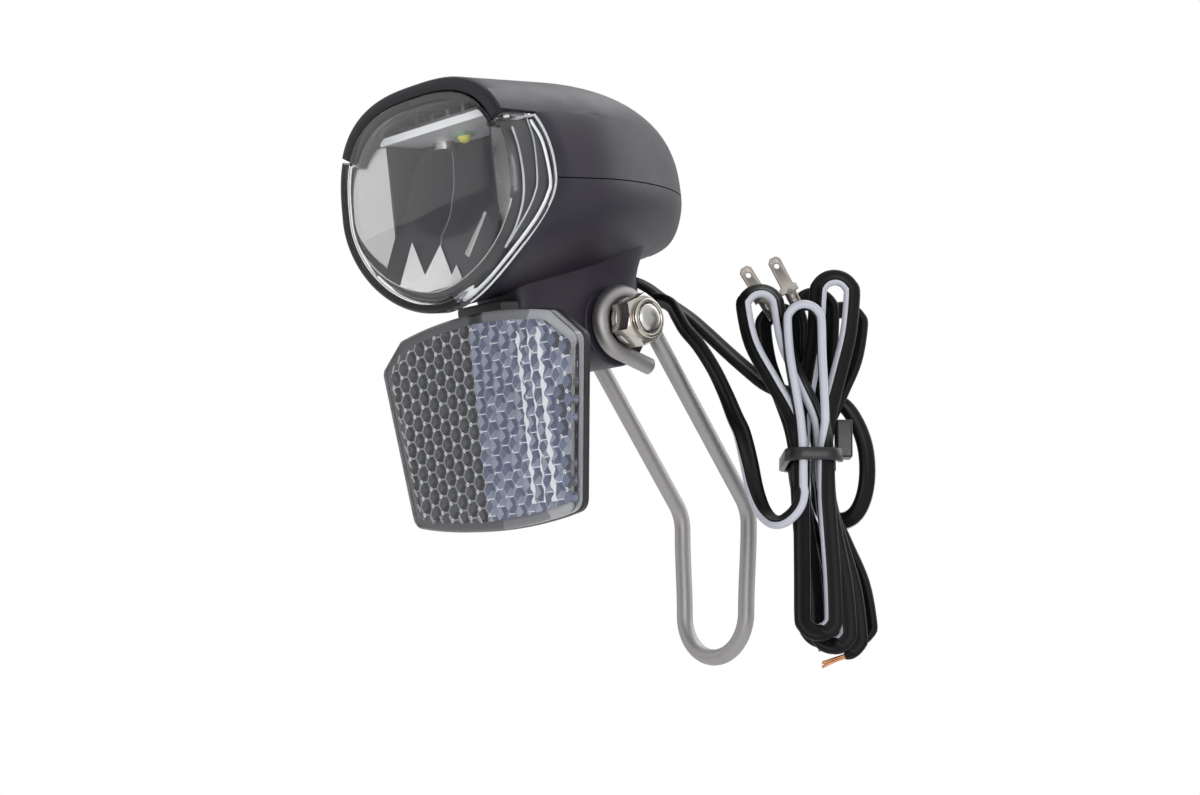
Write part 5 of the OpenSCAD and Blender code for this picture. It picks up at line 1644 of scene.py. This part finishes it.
    def hank_rolls(self, coil: Sequence[Triple], tops: Sequence[float], fall: float, rise: float) -> list[float]:
        """Rolls along a hank: one for each upper loop, two more for the runs below the waist.

        Args:
            coil: Points of the hank.
            tops: Roll at the top of each loop, also kept where the lead comes in.
            fall: Roll on the way down to a foot.
            rise: Roll on the way up again.

        Returns:
            One roll for each point.
        """
        found, loop, high = [], 0, False
        depths = [z for _, _, z in coil]
        for i, z in enumerate(depths):
            if high and z < -self.turn_depth:
                loop, high = min(loop + 1, len(tops) - 1), False
            high = high or z > self.turn_depth
            up = depths[min(i + 1, len(depths) - 1)] >= z
            low = tops[0] if loop == 0 and not high else rise if up else fall
            share = min(1.0, max(0.0, (z - self.roll_from) / self.roll_over))
            found.append(mix(low, tops[loop], ease(share)))
        return found

    def copper(self, tip: np.ndarray, way: np.ndarray, side: np.ndarray) -> Piece:
        """Bare strands at the end of a lead's two cores."""
        up = np.cross(way, side)
        sunk, middle, end = self.strand_len
        near, far = self.strand_flare
        strands = []
        for s in (1, -1):
            for k in range(7):
                a = math.radians(60 * k)
                spread = (self.strand_ring if k else 0.0) * (math.cos(a) * side + math.sin(a) * up)
                base = tip + s * self.width / 4 * side + spread
                path = np.array([base - way * sunk, base + way * middle + s * near * side,
                                 base + way * (end + 0.1 * k) + s * far * side + spread * 0.7])
                line = rounded(path, 4)
                profile = circle(self.strand_r, 8)
                strands.append(Bench.sweep("strand", line, carried_sides(line, up), profile, 0.1))
        return Bench.join("copper_strands", strands)

    def spade(self, place: Matrix) -> Piece:
        """Spade terminal: crimped barrel, shoulders and a flat blade with a hole."""
        rows = [[(a * c, b * s, z) for c, s in around(25)] for z, a, b in self.spade_barrel]
        barrel = Bench.sew(Bench.loft("barrel", rows), fill=True, angle=40.0)
        blade = Bench.slab("blade", self.spade_blade, lambda x, z: (x, -0.4, z), (0, 0.8, 0))
        Bench.cut(blade, Bench.rod("eyelet", (0, -2, 10.7), (0, 2, 10.7), 0.6, 24))
        piece = Bench.join("terminal", [barrel, Bench.bevel(blade, 0.12)])
        return Bench.settle(piece, place)

    def tie(self) -> Piece:
        """Cable tie round the hank's waist, with its head."""
        a, b = self.waist + self.width / 2 + self.tie_room, self.outer + self.thick / 2 + self.tie_room
        corner = self.tie_corner
        rows = [[(math.copysign(a - corner, x) + (corner + out) * x,
                  math.copysign(b - corner, y) + (corner + out) * y, along * self.tie_wide / 2)
                 for x, y in around(81)] for along, out in self.tie_section]
        band = Bench.sew(Bench.loft("tie_band", rows), angle=40.0)
        half, high, deep = self.tie_head
        head = Bench.slab("tie_head", [(-half, 0), (half, 0), (half, high), (-half, high)],
                          lambda y, z: (a + 0.3, y, z + 0.4), (deep, 0, 0), 0.5)
        Bench.bevel(head, 0.4, 3)
        return Bench.settle(Bench.join("tie", [band, head]), self.hank_axes())

    def hank_axes(self) -> Matrix:
        """Axes of the hank in the frame."""
        return Matrix.Translation((self.origin + np.array(self.at)) * MM) @ self.hank_turn()

    def hank_turn(self) -> Matrix:
        """Turn of the hank about the upright."""
        return Matrix.Rotation(math.radians(self.turn), 4, "Z")

    def core_path(self, i: int, foot: np.ndarray, up: np.ndarray) -> np.ndarray:
        """Line of one split core from the lead's end to its terminal."""
        side = unit(np.cross(self.n, up))
        lean = math.radians(self.spade_lean[i])
        start = foot + up * self.end_gap + side * (1 if i == 0 else -1) * self.width / 4
        way = -math.sin(lean) * self.w + np.array([0.0, 0.0, math.cos(lean)])
        end = self.in_hank([self.spade_at[i]])[0] - way * self.end_gap
        reach = float(np.linalg.norm(end - start))
        return np.array([mix(start + up * reach * t, end - way * reach * (1 - t), ease(t))
                         for t in np.linspace(0, 1, 13)])

    def start(self, exit_z: float, free: Sequence[Triple], approach: Sequence[Triple]) -> np.ndarray:
        """Stretch of a lead from the grommet to the hank.

        Args:
            exit_z: Height at which it leaves the grommet.
            free: Points of its free stretch.
            approach: Points beside the hank, in the hank's axes.

        Returns:
            All points, counted from the leads' origin.
        """
        return np.vstack([[self.exit_point(exit_z)], np.array(free), self.in_hank(approach)])

    @staticmethod
    def spread_rolls(count: int, shares: Sequence[float], rolls: Sequence[float]) -> list[float]:
        """Rolls at evenly counted points, from rolls at shares of the way."""
        return list(np.interp(np.linspace(0, 1, count), shares, rolls))

    def dynamo(self) -> None:
        """Lead to the dynamo, with its bare ends."""
        coil = self.hank(self.dynamo_top, self.dynamo_foot, 1)[:-6]
        start = self.start(self.dynamo_exit_z, self.dynamo_free, self.dynamo_approach)
        rolls = self.spread_rolls(len(start), (0, 0.45, 0.7, 0.85, 1), (-72, -60, 10, 60, 70))
        rolls += self.hank_rolls(coil, (86.0, 50.0, 30.0), 12.0, -35.0)
        dynamo, line = self.lead("dynamo_twin_lead", np.vstack([start, self.in_hank(coil)]), rolls, -1)
        way = unit(line[-1] - line[-2])
        ends = self.copper(line[-1], way, unit(np.cross(self.n, way)))
        fit(PALETTE.dress(ends, "copper_strand"), Body.HEAD, "copper", "copper_ends")
        fit(dynamo, Body.HEAD, "lead_black", "dynamo_lead", "dynamo_lead_hank")

    def tail_light(self) -> None:
        """Lead to the tail light, with its split cores and terminals and the tie."""
        n_end = -0.5 * self.layer
        coil = self.hank(self.tail_top, self.tail_foot, -1)
        coil += [(self.waist, n_end, 0), (2.4, n_end, 7), (1.2, n_end, 14), (-1.4, n_end, 21)]
        start = self.start(self.tail_exit_z, self.tail_free, self.tail_approach)
        rolls = self.spread_rolls(len(start), (0, 0.3, 0.6, 1), (-70, -45, -30, -25))
        rolls += self.hank_rolls(coil, (-40.0, -30.0, -30.0), -30.0, -30.0)
        route = np.vstack([start, self.in_hank(coil)])
        tail, line = self.lead("tail_twin_lead", route, rolls, 1)
        up = unit(route[-1] - route[-2])
        cores, spades = [], []
        for i, lean in enumerate(self.spade_lean):
            path = self.core_path(i, route[-1], up) + self.origin
            profile = circle(self.thick / 2 * 0.96, 16)
            core = Bench.sweep("core", path, carried_sides(path, self.n), profile, 0.2)
            cores.append(PALETTE.dress(core, "lead_black"))
            turn = self.hank_turn() @ Matrix.Rotation(-math.radians(lean), 4, "Y")
            spades.append(self.spade(Matrix.Translation(path[-1] * MM) @ turn))
        split = fit(Bench.join("split_cores", cores), Body.HEAD, "lead_black", "tail_light_cores")
        pair = PALETTE.dress(Bench.join("spade_pair", spades), "terminal_tin")
        fit(pair, Body.HEAD, "tin_plate", "spade_terminals")
        tie = fit(PALETTE.dress(self.tie(), "tie_nylon"), Body.HEAD, "tie_plastic", "cable_tie")
        fit(tail, Body.HEAD, "lead_black", "tail_light_lead", "tail_light_lead_hank")

    def build(self) -> None:
        self.dynamo()
        self.tail_light()

    @staticmethod
    def length(line: np.ndarray) -> float:
        """Length of a line in metres."""
        return float(np.linalg.norm(np.diff(line, axis=0), axis=1).sum()) * MM


@dataclass
class Studio:
    """Camera, lamps, world and floor."""

    azimuth: float = 47.54
    elevation: float = -9.22
    roll: float = 0.53
    eye: Triple = (358.68, -363.58, -34.10)
    focal_px: float = 2283.22
    photo_w: float = 1200.0
    sensor: float = 36.0
    clip: Pair = (0.01, 20.0)
    floor_z: float = -11.6
    floor_fade: Pair = (0.12, 0.4)
    floor_tone: float = 0.9
    floor_size: float = 4.0
    aim: Triple = (0.0, -0.03, 0.05)
    ambient: float = 0.42
    gloss: tuple[Pair, ...] = ((0.3, 1.0), (0.53, 0.6), (1.0, 1.0))
    lamps: tuple = (
        ("lamp_top", (-0.05, 0.4, 0.85), 0.6, 2.4),
        ("lamp_left", (-0.75, -0.65, 0.35), 0.55, 0.7),
        ("lamp_right", (0.75, -0.35, 0.1), 0.5, 0.9),
        ("lamp_low", (0.5, -0.5, 0.03), 0.3, 1.0),
        ("lamp_back", (0.3, 0.8, 0.4), 0.6, 2.0),
    )

    def camera(self) -> None:
        """Camera at the photograph's viewing angle."""
        a, e, r = (math.radians(x) for x in (self.azimuth, self.elevation, self.roll))
        back = Vector((math.sin(a) * math.cos(e), -math.cos(a) * math.cos(e), math.sin(e)))
        right = Vector((math.cos(a), math.sin(a), 0.0))
        up = back.cross(right)
        x_axis = right * math.cos(r) + up * math.sin(r)
        y_axis = up * math.cos(r) - right * math.sin(r)
        data = bpy.data.cameras.new("photo_camera")
        data.sensor_fit = "HORIZONTAL"
        data.sensor_width = self.sensor
        data.lens = self.focal_px * self.sensor / self.photo_w
        data.clip_start, data.clip_end = self.clip
        camera = bpy.data.objects.new("photo_camera", data)
        turn = Matrix((x_axis, y_axis, back)).transposed().to_4x4()
        camera.matrix_world = Matrix.Translation(Vector(self.eye) * MM) @ turn
        bpy.context.scene.collection.objects.link(camera)
        bpy.context.scene.camera = camera

    def light(self) -> None:
        """Soft boxes round the headlight."""
        for name, place, size, power in self.lamps:
            data = bpy.data.lights.new(name, "AREA")
            data.shape, data.size, data.energy = "SQUARE", size, power
            lamp = bpy.data.objects.new(name, data)
            lamp.location = place
            lamp.rotation_euler = (Vector(self.aim) - Vector(place)).to_track_quat("-Z", "Y").to_euler()
            bpy.context.scene.collection.objects.link(lamp)

    def world(self) -> None:
        """White for the camera and glass, dimmer at eye level for gloss, soft grey for the rest."""
        world = bpy.data.worlds.new("studio")
        bpy.context.scene.world = world
        world.use_nodes = True
        tree = world.node_tree
        tree.nodes.clear()
        out = tree.nodes.new("ShaderNodeOutputWorld")
        split = add(tree, "SeparateXYZ", {0: add(tree, "TexCoord")["Generated"]})
        height = add(tree, "MapRange", {"Value": split["Z"], "From Min": -1.0})
        tones = add(tree, "ValToRGB", {"Fac": height["Result"]})
        stops = tones["Color"].node.color_ramp.elements
        stops.new(0.5)
        for stop, (at, tone) in zip(stops, self.gloss):
            stop.position, stop.color = at, rgba((tone, tone, tone))
        white = rgba((1.0, 1.0, 1.0))
        soft = add(tree, "Background", {"Color": white, "Strength": self.ambient})
        graded = add(tree, "Background", {"Color": tones["Color"], "Strength": 1.0})
        plain = add(tree, "Background", {"Color": white})
        path = add(tree, "LightPath")
        shown = add(tree, "Math", {0: path["Is Camera Ray"], 1: path["Is Transmission Ray"]},
                    operation="MAXIMUM")
        gloss = add(tree, "MixShader", {0: path["Is Glossy Ray"], 1: soft[0], 2: graded[0]})
        final = add(tree, "MixShader", {0: shown[0], 1: gloss[0], 2: plain[0]})
        feed(tree, out, {"Surface": final[0]})

    def floor(self) -> None:
        """Pale floor that keeps the shadow, fades into the white round it and can't be seen from below."""
        Bench.clear()
        bpy.ops.mesh.primitive_plane_add(size=self.floor_size, location=(0, 0, self.floor_z * MM))
        floor = Bench.named("floor")
        material, shader = blank("floor_pale")
        tree, tone = material.node_tree, self.floor_tone
        feed(tree, shader, {"Base Color": rgba((tone, tone, tone)), "Roughness": 0.9})
        near, far = self.floor_fade
        away = add(tree, "VectorMath", {0: add(tree, "TexCoord")["Object"]}, operation="LENGTH")
        fade = add(tree, "MapRange", {"Value": away["Value"], "From Min": near, "From Max": far},
                   interpolation_type="SMOOTHSTEP")
        below, gloss = add(tree, "NewGeometry")["Backfacing"], add(tree, "LightPath")["Is Glossy Ray"]
        either = add(tree, "Math", {0: below, 1: gloss}, operation="MAXIMUM")
        any_of = add(tree, "Math", {0: either[0], 1: fade["Result"]}, operation="MAXIMUM")
        through = add(tree, "BsdfTransparent")
        final = add(tree, "MixShader", {0: any_of[0], 1: shader.outputs[0], 2: through[0]})
        feed(tree, tree.nodes["Material Output"], {"Surface": final[0]})
        floor.data.materials.append(material)

    def build(self) -> None:
        """Sets up the studio."""
        bpy.context.scene.view_settings.view_transform = "Standard"
        self.camera()
        self.light()
        self.world()
        self.floor()


def main() -> None:
    """Builds the studio and every sub-assembly."""
    logging.basicConfig(level=logging.INFO, format="%(name)s: %(message)s")
    for part in (Studio(), Leads(), WireBracket(), PivotHardware(), Housing(), Lens(), BeamMirror(),
                 LightUnit(), FrontReflector()):
        part.build()
    Bench.clear()


if __name__ == "__main__":
    main()
